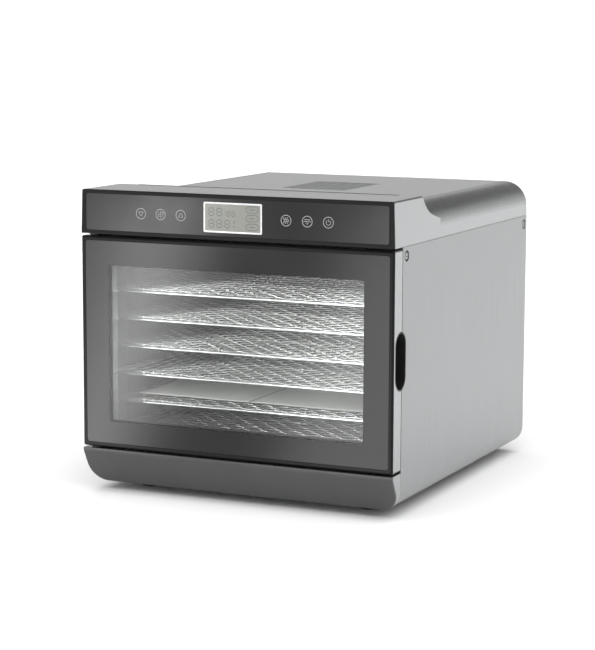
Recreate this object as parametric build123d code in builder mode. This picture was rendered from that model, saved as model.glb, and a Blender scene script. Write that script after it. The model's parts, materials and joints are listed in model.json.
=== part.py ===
from build123d import *
import os
from math import cos, radians, sin

# A six-tray cabinet food dehydrator with a glass door, in millimetres.
# X runs to the right, Y to the rear and Z up.  The origin is the centre of the
# footprint on the surface that the feet stand on.  The air goes through the
# cabinet from rear to front: a fan behind a perforated baffle blows it past a
# ring heater and over the trays.

# --- Outer sizes -------------------------------------------------------------
width = 345.0
height = 315.0
cabinet_depth = 395.0
motor_cover_depth = 55.0
foot_height = 9.5
head_height = 45.2
head_step = 8.0
head_length = 76.0
valance_height = 37.4
door_thickness = 21.3
valance_break = 34.1
valance_sweep = 18.2
valance_round = 12.0
door_gap = 2.2
door_rear_gap = 1.2

# --- Walls, seams and radii --------------------------------------------------
sheet = 1.0
shell = 2.5
fit_gap = 0.2
seam = 0.4
shoulder_radius = 26.0
cap_draft = 1.4
edge_radius = 2.0
scoop_knee = (11.0, 12.8)
scoop_foot = (27.0, 20.6)
scoop_tail = 22.0
groove_width = 1.4
groove_depth = 1.0
groove_setback = 7.0
bottom_radius = 19.0

# --- Drying cavity and trays -------------------------------------------------
cavity_side_space = 16.5
cavity_floor_space = 7.1
cavity_roof_space = 13.8
liner = 0.8
tray_count = 6
tray_wire = 3.0
tray_side_gap = 3.5
tray_front_gap = 9.7
tray_rear_gap = 8.0
tray_corner_radius = 8.0
tray_first_rise = 10.5
tray_head_room = 47.5
mesh_wire = 1.2
mesh_pitch = 10.8
sheet_tray = 4
rib_count = 2
mesh_sheet_thickness = 0.8
mesh_sheet_side_space = 47.0
mesh_sheet_gap = 2.0
mesh_sheet_shift = -9.0
mesh_sheet_setback = 25.0
mesh_sheet_rear_space = 32.0

# --- Tray rails --------------------------------------------------------------
ledge_reach = 7.0
ledge_setback = 4.0
upright_setback = 30.0
upright_rise = 20.0
ledge_thickness = 1.2
upright_width = 12.0
tray_clearance = 0.3

# --- Air system --------------------------------------------------------------
service_depth = 22.0
fan_chamber_depth = 37.0
fan_heater_gap = 13.75
fan_blades = 5
blade_pitch = 28.0
blade_thickness = 1.5
hub_radius = 14.0
hub_length = 14.0
fan_setback = 12.0
heater_wall_space = 9.0
heater_tail = 9.0
heater_tube = 3.25
heater_sweep = 320.0
shaft_radius = 3.0
bearing_gap = 0.05
bearing_radius = 8.0
bearing_length = 6.0
hole_rings = 5
hole_radius = 4.5
front_frame_thickness = 2.0
frame_corner = 3.0

# --- Motor -------------------------------------------------------------------
stator_width = 60.0
stator_above = 30.0
stator_below = 46.0
stator_length = 20.0
stator_setback = 14.0
rotor_radius = 15.0
rotor_gap = 0.5
coil_window = (36.0, 14.0)
coil_yoke = 10.0
coil_wall = 7.0
coil_width = 34.0
motor_post_radius = 2.0
motor_post_spacing = 50.0
motor_bracket_width = 16.0
bracket_thickness = 1.5
motor_hole_radius = 60.0
motor_cover_size = 160.0
motor_cover_flange = 9.0
motor_cover_corner = 14.0

# --- Door --------------------------------------------------------------------
rim_depth = 2.5
rim_width = 4.5
glass_thickness = 4.0
glass_setback = 0.4
window_side_border = 31.3
window_top_border = 29.6
window_bottom_border = 27.9
inner_frame_thickness = 2.5
door_wall = 2.5
door_corner = 2.0
hinge_wall = 0.5
print_gap = 0.1
hinge_pin_radius = 2.0
hinge_bush_radius = 4.0
hinge_washer_radius = 6.0
hinge_pin_engagement = 8.0
hinge_boss_length = 14.0
hinge_washer_gap = 0.2
seal_width = 3.0
seal_thickness = 0.6
seal_inset = 1.5
magnet_size = (4.0, 40.0)
magnet_inset = 7.0
magnet_end_inset = 29.25

# --- Finger pull, half in the door and half in the cabinet -------------------
pull_length = 58.5
pull_width = 28.1
pull_glass_gap = 0.2
pull_depth = 12.0
pull_wall = 1.5

# --- Control head ------------------------------------------------------------
bezel_depth = 2.5
fascia_margin = 3.8
fascia_side_margin = 5.0
fascia_thickness = 1.4
fascia_setback = 0.4
display_width = 64.4
display_height = 30.3
display_rise = 22.5
lens_thickness = 1.0
display_frame_width = 3.4
board_setback = 8.0
board_thickness = 1.6
board_length = 250.0
board_height = 30.0
key_offsets = (58.0, 80.7, 103.2)
key_contact_radius = 5.0
boss_radius = 3.0
boss_end_inset = 8.0
boss_edge_inset = 5.0

# --- Top vent ----------------------------------------------------------------
vent_width = 75.0
vent_length = 99.0
vent_setback = 193.0
vent_thickness = 1.2
vent_ledge = 2.0
vent_slots = (5, 20)
vent_slot_size = (12.0, 2.4)
vent_margin = 6.0
vent_web = 1.5

# --- Rear, feet and fasteners ------------------------------------------------
rear_lip = 8.0
foot_radius = 13.0
foot_recess = 4.0
foot_inset = 47.5
foot_front_setback = 62.0
foot_rear_setback = 45.0
gland_hole_radius = 8.0
gland_flange_radius = 12.0
gland_bore_radius = 4.0
gland_flange_length = 5.0
gland_inset = 60.5
gland_rise = 24.5
screw_head_radius = 5.4
screw_shank_radius = 2.0
screw_length = 7.0
side_screw_front = 32.3
side_screw_rear = 9.6
side_screw_drop = 9.6
rear_screw_head_radius = 3.5
rear_screw_head_height = 2.0
tab_width = 16.0
tab_drop = 18.0
tab_thickness = 3.2
tab_rise = 6.0
rear_slot_size = (36.0, 3.5)
rear_slots = 8
rear_slot_pitch = 9.0
cover_slot_size = (40.0, 4.5)
cover_slots = (2, 9)
cover_slot_pitch = (48.0, 11.0)

# --- Things behind the cap and the rear panel --------------------------------
power_board_size = (120.0, 90.0)
power_board_rise = 8.0
power_board_centre = (-50.0, 145.0)
transformer_size = (34.0, 30.0, 24.0)
transformer_place = (-25.0, -15.0)
relay_size = (16.0, 19.0, 15.0)
relay_places = ((12.0, 20.0), (36.0, 20.0))
board_leg_inset = 6.0
probe_radius = 3.0
probe_length = 35.0
probe_x = 60.0
probe_setback = 36.0
cutout_radius = 8.0
cutout_length = 6.0
cutout_offset = (-90.0, 50.0)
terminal_size = (36.0, 12.0, 16.0)
terminal_rise = 14.0
terminal_hole_radius = 2.5
terminal_ways = 3
mesh_gap = 0.02

# --- Levels and planes worked out from the sizes above -----------------------
half_width = width / 2
front_y = -(cabinet_depth + motor_cover_depth) / 2
rear_y = front_y + cabinet_depth
back_y = rear_y + motor_cover_depth
door_rear_y = front_y + door_thickness
body_front_y = door_rear_y + door_rear_gap
deck_z = height - head_step
head_bottom_z = height - head_height
valance_top_z = foot_height + valance_height
door_bottom_z = valance_top_z + door_gap
door_top_z = head_bottom_z - door_gap
inner_half_width = half_width - sheet

frame_rear_y = body_front_y + front_frame_thickness
cavity_half_width = half_width - cavity_side_space
cavity_floor_z = valance_top_z + cavity_floor_space
cavity_roof_z = head_bottom_z - cavity_roof_space
cavity_height = cavity_roof_z - cavity_floor_z
cavity_mid_z = (cavity_floor_z + cavity_roof_z) / 2
chamber_back_y = rear_y - service_depth
baffle_y = chamber_back_y - fan_chamber_depth
heater_radius = cavity_height / 2 - heater_wall_space
fan_radius = heater_radius - heater_tube - fan_heater_gap

tray_half_width = cavity_half_width - tray_side_gap
tray_front_y = door_rear_y + tray_front_gap
tray_rear_y = baffle_y - tray_rear_gap
tray_pitch = (cavity_height - tray_first_rise - tray_head_room) / (tray_count - 1)
tray_levels = [cavity_floor_z + tray_first_rise + tray_pitch * step for step in range(tray_count)]
tray_levels.reverse()
wire_radius = tray_wire / 2

fan_y = chamber_back_y - fan_setback - hub_length
heater_y = chamber_back_y - fan_chamber_depth / 2
stator_y = chamber_back_y + sheet + stator_setback
rear_panel_y = rear_y - seam - sheet

glass_y = front_y + glass_setback
inner_frame_y = glass_y + glass_thickness + print_gap
door_frame_y = inner_frame_y + inner_frame_thickness
hinge_setback = door_rear_y - door_frame_y - hinge_pin_radius - hinge_wall
hinge_x = -half_width + hinge_setback
hinge_y = door_rear_y - hinge_setback
door_mid_z = (door_bottom_z + door_top_z) / 2
pull_y = front_y + glass_setback + glass_thickness + pull_glass_gap + pull_width / 2
pull_centre_z = door_mid_z
display_centre_z = head_bottom_z + display_rise
gland_x = half_width - gland_inset
gland_z = foot_height + gland_rise
probe_y = baffle_y - probe_setback
window_half_width = half_width - window_side_border
window_low_z = door_bottom_z + window_bottom_border
window_high_z = door_top_z - window_top_border

os.makedirs("parts", exist_ok=True)


def facing(y):
    """The upright plane at depth y: its X is X, its Y is Z, and it faces the front."""
    return Plane.XZ.offset(-y)


def span(x, y, z, mode=Mode.ADD):
    """A box between the low and high values of x, y and z, in the open part."""
    middle = ((x[0] + x[1]) / 2, (y[0] + y[1]) / 2, (z[0] + z[1]) / 2)
    with Locations(middle):
        Box(x[1] - x[0], y[1] - y[0], z[1] - z[0], mode=mode)


def rod_back(x, z, y, radius, mode=Mode.ADD):
    """A round rod along Y between the two values of y."""
    with BuildSketch(facing(y[0])) as section:
        with Locations((x, z)):
            Circle(radius)
    extrude(section.sketch, amount=y[0] - y[1], mode=mode)


def rod_up(x, y, z, radius, mode=Mode.ADD):
    """A round rod along Z between the two values of z."""
    with BuildSketch(Plane.XY.offset(z[0])) as section:
        with Locations((x, y)):
            Circle(radius)
    extrude(section.sketch, amount=z[1] - z[0], mode=mode)


def frame_face(x, z, corner):
    """A rounded rectangle between the low and high values of x and z, in the open sketch."""
    with Locations(((x[0] + x[1]) / 2, (z[0] + z[1]) / 2)):
        RectangleRounded(x[1] - x[0], z[1] - z[0], corner)


def cap_section(y, inset, top_z, corner, length, low_z=head_bottom_z, mode=Mode.ADD):
    """One length of the drafted cap: its section moved in by inset, with rounded upper edges."""
    lean = cap_draft / head_height
    low = half_width - inset - lean * (low_z - head_bottom_z)
    high = half_width - inset - lean * (top_z - head_bottom_z)
    with BuildSketch(facing(y)) as section:
        with BuildLine():
            Polyline((-low, low_z), (low, low_z), (high, top_z), (-high, top_z), close=True)
        make_face()
        fillet(section.vertices().group_by(Axis.Y)[-1], corner)
    extrude(section.sketch, amount=-length, mode=mode)


def body_section(y, inset, top_z, length, mode=Mode.ADD):
    """One length of the body's outline moved in by inset, with its lower corners round."""
    with BuildSketch(facing(y)) as section:
        with Locations((0, (foot_height + inset + top_z) / 2)):
            outline = Rectangle(width - 2 * inset, top_z - foot_height - inset)
        fillet(outline.vertices().group_by(Axis.Y)[0], bottom_radius - min(inset, bottom_radius / 2))
    extrude(section.sketch, amount=-length, mode=mode)


def chin_prism(setback, mode=Mode.ADD):
    """All that lies behind the chin's side profile, moved back by setback, at any width."""
    chin_front_y = front_y + setback
    chin_rear_y = body_front_y + door_thickness
    with BuildSketch(Plane.YZ) as section:
        with BuildLine():
            Polyline(
                (chin_front_y, valance_top_z),
                (chin_front_y, foot_height + valance_break),
                (chin_front_y + valance_sweep, foot_height),
                (chin_rear_y, foot_height),
                (chin_rear_y, valance_top_z),
                close=True,
            )
        make_face()
        front_points = section.vertices().group_by(Axis.X)[0]
        fillet(front_points.sort_by(Axis.Y)[0], valance_round)
    extrude(section.sketch, amount=width, both=True, mode=mode)


def pull_prism(radius_inset, depth, mode):
    """The finger pull's long round-ended shape, sunk into the right side."""
    with BuildSketch(Plane.YZ.offset(half_width + 1)) as section:
        with Locations((pull_y, pull_centre_z)):
            SlotOverall(pull_length - 2 * radius_inset, pull_width - 2 * radius_inset, rotation=90)
    extrude(section.sketch, amount=-(depth + 1), mode=mode)


# =============================================================================
# Cabinet: outer shells
# =============================================================================

# The cap is one shell: a control head across the front, a lower deck behind it
# with round shoulders, and a scooped corner where the two meet at each side.
scoop_top_y = front_y + head_length
with BuildPart() as top_cap:
    cap_section(front_y + bezel_depth, 0, deck_z, shoulder_radius, cabinet_depth - bezel_depth)
    with BuildPart(mode=Mode.PRIVATE) as head_block:
        cap_section(front_y + bezel_depth, 0, height, edge_radius, head_length + scoop_foot[0] + scoop_tail)
        with BuildSketch(Plane.YZ):
            with BuildLine():
                top_line = Line((front_y, height), (scoop_top_y, height))
                scoop = ThreePointArc(
                    top_line @ 1,
                    (scoop_top_y + scoop_knee[0], height - scoop_knee[1]),
                    (scoop_top_y + scoop_foot[0], height - scoop_foot[1]),
                )
                tail = Line(scoop @ 1, scoop @ 1 + (scoop % 1) * scoop_tail)
                Polyline(
                    tail @ 1,
                    ((tail @ 1).X, head_bottom_z),
                    (front_y, head_bottom_z),
                    top_line @ 0,
                )
            make_face()
        extrude(amount=width, both=True, mode=Mode.INTERSECT)
    add(head_block.part)
    # the hollow behind the head's floor, then the head's own hollow
    cap_section(
        frame_rear_y,
        shell,
        deck_z - shell,
        shoulder_radius - shell,
        rear_y - shell - frame_rear_y,
        mode=Mode.SUBTRACT,
    )
    cap_section(
        front_y + bezel_depth,
        shell,
        height - shell,
        edge_radius,
        head_length - bezel_depth - shell,
        low_z=head_bottom_z + shell,
        mode=Mode.SUBTRACT,
    )
    # the fine groove where the deck meets the head and each shoulder
    groove_x = half_width - shoulder_radius - cap_draft
    groove_y = scoop_top_y + groove_setback
    groove_z = (deck_z - groove_depth, deck_z + 1)
    span((-groove_x, groove_x), (groove_y, groove_y + groove_width), groove_z, mode=Mode.SUBTRACT)
    for side in (-1, 1):
        span(
            sorted((side * groove_x, side * (groove_x + groove_width))),
            (groove_y, rear_y - shell),
            groove_z,
            mode=Mode.SUBTRACT,
        )
    # the vent opening, with a ledge for its grille
    vent_y = (front_y + vent_setback, front_y + vent_setback + vent_length)
    vent_x = (-vent_width / 2, vent_width / 2)
    vent_low_z = deck_z - seam - vent_thickness
    span(vent_x, vent_y, (vent_low_z, deck_z + 1), mode=Mode.SUBTRACT)
    span(
        (vent_x[0] + vent_ledge, vent_x[1] - vent_ledge),
        (vent_y[0] + vent_ledge, vent_y[1] - vent_ledge),
        (deck_z - shell - 1, deck_z),
        mode=Mode.SUBTRACT,
    )
    # the upper hinge's hole in the head's floor
    rod_up(hinge_x, hinge_y, (head_bottom_z - 1, head_bottom_z + shell + 1), hinge_bush_radius, Mode.SUBTRACT)
    # tabs that hang down inside the wrap and take the side screws
    screw_z = head_bottom_z - side_screw_drop
    side_screw_depths = (front_y + side_screw_front, rear_y - side_screw_rear)
    for side in (-1, 1):
        for screw_y in side_screw_depths:
            outer = inner_half_width - fit_gap
            tab_x = sorted((side * outer, side * (outer - tab_thickness)))
            tab_y = (
                max(screw_y - tab_width / 2, frame_rear_y + fit_gap),
                min(screw_y + tab_width / 2, rear_panel_y - sheet - seam),
            )
            span(tab_x, tab_y, (head_bottom_z - tab_drop, head_bottom_z + tab_rise))
            with BuildSketch(Plane.YZ.offset(-width)):
                with Locations((screw_y, screw_z)):
                    Circle(screw_shank_radius)
            extrude(amount=2 * width, mode=Mode.SUBTRACT)
top_cap.part.label = "top_cap"
export_step(top_cap.part, "parts/top_cap.step")

slot_grid = ((vent_width - vent_margin) / vent_slots[0], (vent_length - vent_margin) / vent_slots[1])
with BuildPart() as top_vent_grille:
    span(
        (vent_x[0] + fit_gap, vent_x[1] - fit_gap),
        (vent_y[0] + fit_gap, vent_y[1] - fit_gap),
        (vent_low_z, vent_low_z + vent_thickness),
    )
    with BuildSketch(Plane.XY.offset(vent_low_z)):
        with Locations((0, sum(vent_y) / 2)):
            with GridLocations(*slot_grid, *vent_slots):
                Rectangle(min(vent_slot_size[0], slot_grid[0] - vent_web), vent_slot_size[1])
    extrude(amount=vent_thickness, mode=Mode.SUBTRACT)
top_vent_grille.part.label = "top_vent_grille"
export_step(top_vent_grille.part, "parts/top_vent_grille.step")

# The wrap is one sheet bent into a U: both sides and the bottom, with a lip
# round the rear that the rear panel is screwed to.
wrap_top_z = head_bottom_z - seam
foot_places = [
    (side * (half_width - foot_inset), foot_y)
    for foot_y in (front_y + foot_front_setback, rear_y - foot_rear_setback)
    for side in (-1, 1)
]
panel_screws = [
    (side * screw_x, screw_level)
    for screw_x, screw_level in (
        (inner_half_width - rear_lip / 2 - fit_gap, cavity_floor_z),
        (inner_half_width - rear_lip / 2 - fit_gap, cavity_roof_z - tab_drop),
        (cavity_half_width / 2, foot_height + sheet + rear_lip / 2 + fit_gap),
    )
    for side in (-1, 1)
]
with BuildPart() as body_wrap:
    body_section(body_front_y, 0, wrap_top_z, rear_y - body_front_y)
    body_section(body_front_y - 1, sheet, wrap_top_z + 1, cabinet_depth, mode=Mode.SUBTRACT)
    with BuildPart(mode=Mode.PRIVATE) as rear_flange:
        body_section(rear_panel_y - sheet, sheet / 2, wrap_top_z, sheet)
        body_section(rear_panel_y - sheet, sheet + rear_lip, wrap_top_z + 1, sheet, mode=Mode.SUBTRACT)
    add(rear_flange.part)
    with BuildSketch(Plane.YZ.offset(-width)):
        for screw_y in side_screw_depths:
            with Locations((screw_y, screw_z)):
                Circle(screw_head_radius + 0.1)
    extrude(amount=2 * width, mode=Mode.SUBTRACT)
    for foot_x, foot_y in foot_places:
        rod_up(foot_x, foot_y, (0, foot_height + 2 * sheet), screw_shank_radius, mode=Mode.SUBTRACT)
    for screw_x, screw_level in panel_screws:
        rod_back(screw_x, screw_level, (rear_panel_y - 5, rear_y), screw_shank_radius, mode=Mode.SUBTRACT)
    pull_prism(0, 5, Mode.SUBTRACT)
body_wrap.part.label = "body_wrap"
export_step(body_wrap.part, "parts/body_wrap.step")

cover_half = motor_cover_size / 2
cover_screws = [
    (reach * (cover_half + motor_cover_flange / 2), cavity_mid_z + rise * (cover_half + motor_cover_flange / 2))
    for reach, rise in ((-1, 0), (1, 0), (0, -1), (0, 1))
]
with BuildPart() as rear_panel:
    body_section(rear_panel_y, sheet + fit_gap, wrap_top_z - fit_gap, sheet)
    rod_back(0, cavity_mid_z, (rear_panel_y, rear_y), motor_hole_radius, mode=Mode.SUBTRACT)
    rod_back(gland_x, gland_z, (rear_panel_y, rear_y), gland_hole_radius, mode=Mode.SUBTRACT)
    for screw_x, screw_level in panel_screws + cover_screws:
        rod_back(screw_x, screw_level, (rear_panel_y, rear_y), screw_shank_radius, mode=Mode.SUBTRACT)
    with BuildSketch(facing(rear_panel_y)):
        for side in (-1, 1):
            vent_centre = (cover_half + motor_cover_flange + cavity_half_width) / 2
            with Locations((side * vent_centre, cavity_mid_z)):
                with GridLocations(0, rear_slot_pitch, 1, rear_slots):
                    SlotOverall(*rear_slot_size)
    extrude(amount=-sheet, mode=Mode.SUBTRACT)
rear_panel.part.label = "rear_panel"
export_step(rear_panel.part, "parts/rear_panel.step")

with BuildPart() as motor_cover:
    cover_y = rear_panel_y + sheet
    cover_depth = back_y - cover_y
    with BuildSketch(facing(cover_y)):
        with Locations((0, cavity_mid_z)):
            RectangleRounded(motor_cover_size, motor_cover_size, motor_cover_corner)
    extrude(amount=-cover_depth)
    fillet(motor_cover.faces().sort_by(Axis.Y)[-1].edges(), motor_cover_corner - edge_radius)
    with BuildSketch(facing(cover_y)):
        flange = motor_cover_size + 2 * motor_cover_flange
        with Locations((0, cavity_mid_z)):
            RectangleRounded(flange, flange, motor_cover_corner + motor_cover_flange)
    extrude(amount=-shell)
    with BuildPart(mode=Mode.PRIVATE) as cover_hollow:
        with BuildSketch(facing(cover_y)):
            hollow = motor_cover_size - 2 * shell
            with Locations((0, cavity_mid_z)):
                RectangleRounded(hollow, hollow, motor_cover_corner - shell)
        extrude(amount=-(cover_depth - shell))
        fillet(cover_hollow.faces().sort_by(Axis.Y)[-1].edges(), motor_cover_corner - shell - edge_radius)
    add(cover_hollow.part, mode=Mode.SUBTRACT)
    with BuildSketch(facing(back_y)):
        with Locations((0, cavity_mid_z)):
            with GridLocations(*cover_slot_pitch, *cover_slots):
                SlotOverall(*cover_slot_size)
    extrude(amount=2 * shell, mode=Mode.SUBTRACT)
    for screw_x, screw_level in cover_screws:
        rod_back(screw_x, screw_level, (cover_y, cover_y + shell), screw_shank_radius, mode=Mode.SUBTRACT)
motor_cover.part.label = "motor_cover"
export_step(motor_cover.part, "parts/motor_cover.step")

chin_depth = body_front_y - seam - front_y
with BuildPart() as valance_fascia:
    chin_prism(0)
    chin_prism(shell, mode=Mode.SUBTRACT)
    body_section(front_y, 0, valance_top_z, chin_depth, mode=Mode.INTERSECT)
valance_fascia.part.label = "valance_fascia"
export_step(valance_fascia.part, "parts/valance_fascia.step")

with BuildPart() as valance_shell:
    chin_prism(shell)
    body_section(front_y, 0, valance_top_z, chin_depth, mode=Mode.INTERSECT)
    with BuildPart(mode=Mode.PRIVATE) as chin_hollow:
        chin_prism(2 * shell)
        body_section(front_y, shell, valance_top_z - shell, chin_depth + 1, mode=Mode.INTERSECT)
    add(chin_hollow.part, mode=Mode.SUBTRACT)
    bush_barrel = shell + 3.5
    rod_up(hinge_x, hinge_y, (valance_top_z - bush_barrel, height), hinge_bush_radius, mode=Mode.SUBTRACT)
valance_shell.part.label = "valance_shell"
export_step(valance_shell.part, "parts/valance_shell.step")

# =============================================================================
# Control head
# =============================================================================

fascia_half_width = half_width - fascia_side_margin - cap_draft / 2
fascia_low_z = head_bottom_z + fascia_margin
fascia_high_z = height - fascia_margin
display_x = (-display_width / 2, display_width / 2)
display_z = (display_centre_z - display_height / 2, display_centre_z + display_height / 2)
board_y = front_y + board_setback
with BuildPart() as control_bezel:
    cap_section(front_y, 0, height, edge_radius, bezel_depth)
    front_face = control_bezel.faces().sort_by(Axis.Y)[0]
    fillet(front_face.edges(), 0.6)
    with BuildSketch(facing(front_y)):
        frame_face((-fascia_half_width, fascia_half_width), (fascia_low_z, fascia_high_z), 2.5)
    extrude(amount=-(fascia_setback + fascia_thickness), mode=Mode.SUBTRACT)
    span(display_x, (front_y, front_y + bezel_depth), display_z, mode=Mode.SUBTRACT)
    for boss_x in (-board_length / 2 + boss_end_inset, board_length / 2 - boss_end_inset):
        for boss_rise in (-board_height / 2 + boss_edge_inset, board_height / 2 - boss_edge_inset):
            rod_back(boss_x, display_centre_z + boss_rise, (front_y + bezel_depth, board_y), boss_radius)
control_bezel.part.label = "control_bezel"
export_step(control_bezel.part, "parts/control_bezel.step")

fascia_y = front_y + fascia_setback
with BuildPart() as control_fascia:
    with BuildSketch(facing(fascia_y)):
        frame_face(
            (-fascia_half_width + fit_gap, fascia_half_width - fit_gap),
            (fascia_low_z + fit_gap, fascia_high_z - fit_gap),
            2.5 - fit_gap,
        )
    extrude(amount=-fascia_thickness)
    span(display_x, (front_y, front_y + bezel_depth), display_z, mode=Mode.SUBTRACT)
control_fascia.part.label = "control_fascia"
export_step(control_fascia.part, "parts/control_fascia.step")

lens_x = (display_x[0] + display_frame_width, display_x[1] - display_frame_width)
lens_z = (display_z[0] + display_frame_width, display_z[1] - display_frame_width)
lens_y = front_y + fascia_setback
with BuildPart() as display_frame:
    with BuildSketch(facing(front_y)):
        frame_face((display_x[0] + 0.1, display_x[1] - 0.1), (display_z[0] + 0.1, display_z[1] - 0.1), 1.2)
        with BuildSketch(mode=Mode.SUBTRACT):
            frame_face(lens_x, lens_z, 1.0)
    extrude(amount=-bezel_depth)
display_frame.part.label = "display_frame"
export_step(display_frame.part, "parts/display_frame.step")

with BuildPart() as display_lens:
    with BuildSketch(facing(lens_y)):
        frame_face((lens_x[0] + 0.1, lens_x[1] - 0.1), (lens_z[0] + 0.1, lens_z[1] - 0.1), 0.9)
    extrude(amount=-lens_thickness)
display_lens.part.label = "display_lens"
export_step(display_lens.part, "parts/display_lens.step")

with BuildPart() as display_module:
    span(
        (lens_x[0] + 0.3, lens_x[1] - 0.3),
        (lens_y + lens_thickness + print_gap, board_y),
        (lens_z[0] + 0.3, lens_z[1] - 0.3),
    )
display_module.part.label = "display_module"
export_step(display_module.part, "parts/display_module.step")

with BuildPart() as key_contacts:
    for key_x in key_offsets:
        for side in (-1, 1):
            rod_back(side * key_x, display_centre_z, (front_y + bezel_depth, board_y), key_contact_radius)
key_contacts.part.label = "key_contacts"
export_step(key_contacts.part, "parts/key_contacts.step")

with BuildPart() as control_board:
    span(
        (-board_length / 2, board_length / 2),
        (board_y, board_y + board_thickness),
        (display_centre_z - board_height / 2, display_centre_z + board_height / 2),
    )
control_board.part.label = "control_board"
export_step(control_board.part, "parts/control_board.step")

# =============================================================================
# Frame and drying cavity
# =============================================================================

cavity_x = (-cavity_half_width, cavity_half_width)
cavity_z = (cavity_floor_z, cavity_roof_z)
with BuildPart() as front_frame:
    body_section(body_front_y, sheet + fit_gap, wrap_top_z - fit_gap, front_frame_thickness)
    with BuildSketch(facing(body_front_y)):
        frame_face(cavity_x, cavity_z, frame_corner)
    extrude(amount=-front_frame_thickness, mode=Mode.SUBTRACT)
    pull_prism(0, pull_depth + pull_wall, Mode.SUBTRACT)
    # butt joints: two uprights with the rails between them, and the web beside the pull
    frame_y = (body_front_y, frame_rear_y)
    for side in (-1, 1):
        joint_x = side * (cavity_half_width - frame_corner)
        span((joint_x - mesh_gap, joint_x + mesh_gap), frame_y, (0, height), mode=Mode.SUBTRACT)
        joint_z = pull_centre_z + side * (pull_length / 2 + mesh_gap)
        span((0, width), frame_y, (joint_z - mesh_gap, joint_z + mesh_gap), mode=Mode.SUBTRACT)
front_frame.part.label = "front_frame"
export_step(front_frame.part, "parts/front_frame.step")

wall_y = (frame_rear_y, chamber_back_y)
with BuildPart() as cavity_wall_left:
    span((-cavity_half_width - liner, -cavity_half_width), wall_y, cavity_z)
cavity_wall_left.part.label = "cavity_wall_left"
export_step(cavity_wall_left.part, "parts/cavity_wall_left.step")

with BuildPart() as cavity_wall_right:
    span((cavity_half_width, cavity_half_width + liner), wall_y, cavity_z)
cavity_wall_right.part.label = "cavity_wall_right"
export_step(cavity_wall_right.part, "parts/cavity_wall_right.step")

liner_x = (-cavity_half_width - liner, cavity_half_width + liner)
with BuildPart() as cavity_roof:
    span(liner_x, wall_y, (cavity_roof_z, cavity_roof_z + liner))
    rod_up(probe_x, probe_y, (cavity_roof_z, cavity_roof_z + liner), probe_radius, mode=Mode.SUBTRACT)
cavity_roof.part.label = "cavity_roof"
export_step(cavity_roof.part, "parts/cavity_roof.step")

with BuildPart() as cavity_floor:
    span(liner_x, wall_y, (cavity_floor_z - liner, cavity_floor_z))
cavity_floor.part.label = "cavity_floor"
export_step(cavity_floor.part, "parts/cavity_floor.step")


def tray_rails(side):
    """A side's ladder of ledges: one under each tray, on two uprights against the wall."""
    wall_x = side * cavity_half_width
    rail_y = (tray_front_y + ledge_setback, baffle_y - fit_gap)
    for level in tray_levels:
        ledge_top = level - wire_radius - tray_clearance
        ledge_x = sorted((wall_x - side * (sheet + mesh_gap), wall_x - side * ledge_reach))
        span(ledge_x, rail_y, (ledge_top - ledge_thickness, ledge_top))
    for upright_y in (rail_y[0] + upright_setback, rail_y[1] - upright_setback - upright_width):
        upright_x = sorted((wall_x, wall_x - side * sheet))
        span(upright_x, (upright_y, upright_y + upright_width), (cavity_floor_z, tray_levels[0] + upright_rise))


with BuildPart() as tray_rails_left:
    tray_rails(-1)
tray_rails_left.part.label = "tray_rails_left"
export_step(tray_rails_left.part, "parts/tray_rails_left.step")

with BuildPart() as tray_rails_right:
    tray_rails(1)
tray_rails_right.part.label = "tray_rails_right"
export_step(tray_rails_right.part, "parts/tray_rails_right.step")

# The baffle's rings of holes face the fan; its side slots let the air back.
with BuildPart() as fan_baffle:
    span(cavity_x, (baffle_y, baffle_y + sheet), cavity_z)
    with BuildSketch(facing(baffle_y)):
        with Locations((0, cavity_mid_z)):
            for ring in range(1, hole_rings + 1):
                with PolarLocations(ring * fan_radius / (hole_rings + 0.4), 6 * ring):
                    Circle(hole_radius)
        for side in (-1, 1):
            side_centre = side * (cavity_half_width + fan_radius + 8) / 2
            with Locations((side_centre, cavity_mid_z)):
                with GridLocations(0, cavity_height / 10, 1, 9):
                    SlotOverall(cavity_half_width - fan_radius - 30, 7)
    extrude(amount=-sheet, mode=Mode.SUBTRACT)
fan_baffle.part.label = "fan_baffle"
export_step(fan_baffle.part, "parts/fan_baffle.step")

heater_gap = (360 - heater_sweep) / 2
heater_start = -90 + heater_gap
heater_ends = [
    (heater_radius * cos(radians(angle)), cavity_mid_z + heater_radius * sin(radians(angle)))
    for angle in (heater_start, heater_start + heater_sweep)
]
with BuildPart() as fan_chamber_back:
    span(liner_x, (chamber_back_y, chamber_back_y + sheet), (cavity_floor_z - liner, cavity_roof_z + liner))
    rod_back(0, cavity_mid_z, (chamber_back_y, rear_y), 2 * shaft_radius, mode=Mode.SUBTRACT)
    for end_x, end_z in heater_ends:
        rod_back(end_x, end_z, (chamber_back_y, rear_y), heater_tube, mode=Mode.SUBTRACT)
fan_chamber_back.part.label = "fan_chamber_back"
export_step(fan_chamber_back.part, "parts/fan_chamber_back.step")

# =============================================================================
# Heater, sensors and wiring points
# =============================================================================

with BuildPart() as heater_element:
    with BuildLine(facing(heater_y)) as heater_ring:
        CenterArc((0, cavity_mid_z), heater_radius, heater_start, heater_sweep)
    with BuildSketch(Plane(origin=heater_ring.line @ 0, z_dir=heater_ring.line % 0)):
        Circle(heater_tube)
    sweep()
    for end_x, end_z in heater_ends:
        with Locations((end_x, heater_y, end_z)):
            Sphere(heater_tube)
        rod_back(end_x, end_z, (heater_y, chamber_back_y + heater_tail), heater_tube)
heater_element.part.label = "heater_element"
export_step(heater_element.part, "parts/heater_element.step")

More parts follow.
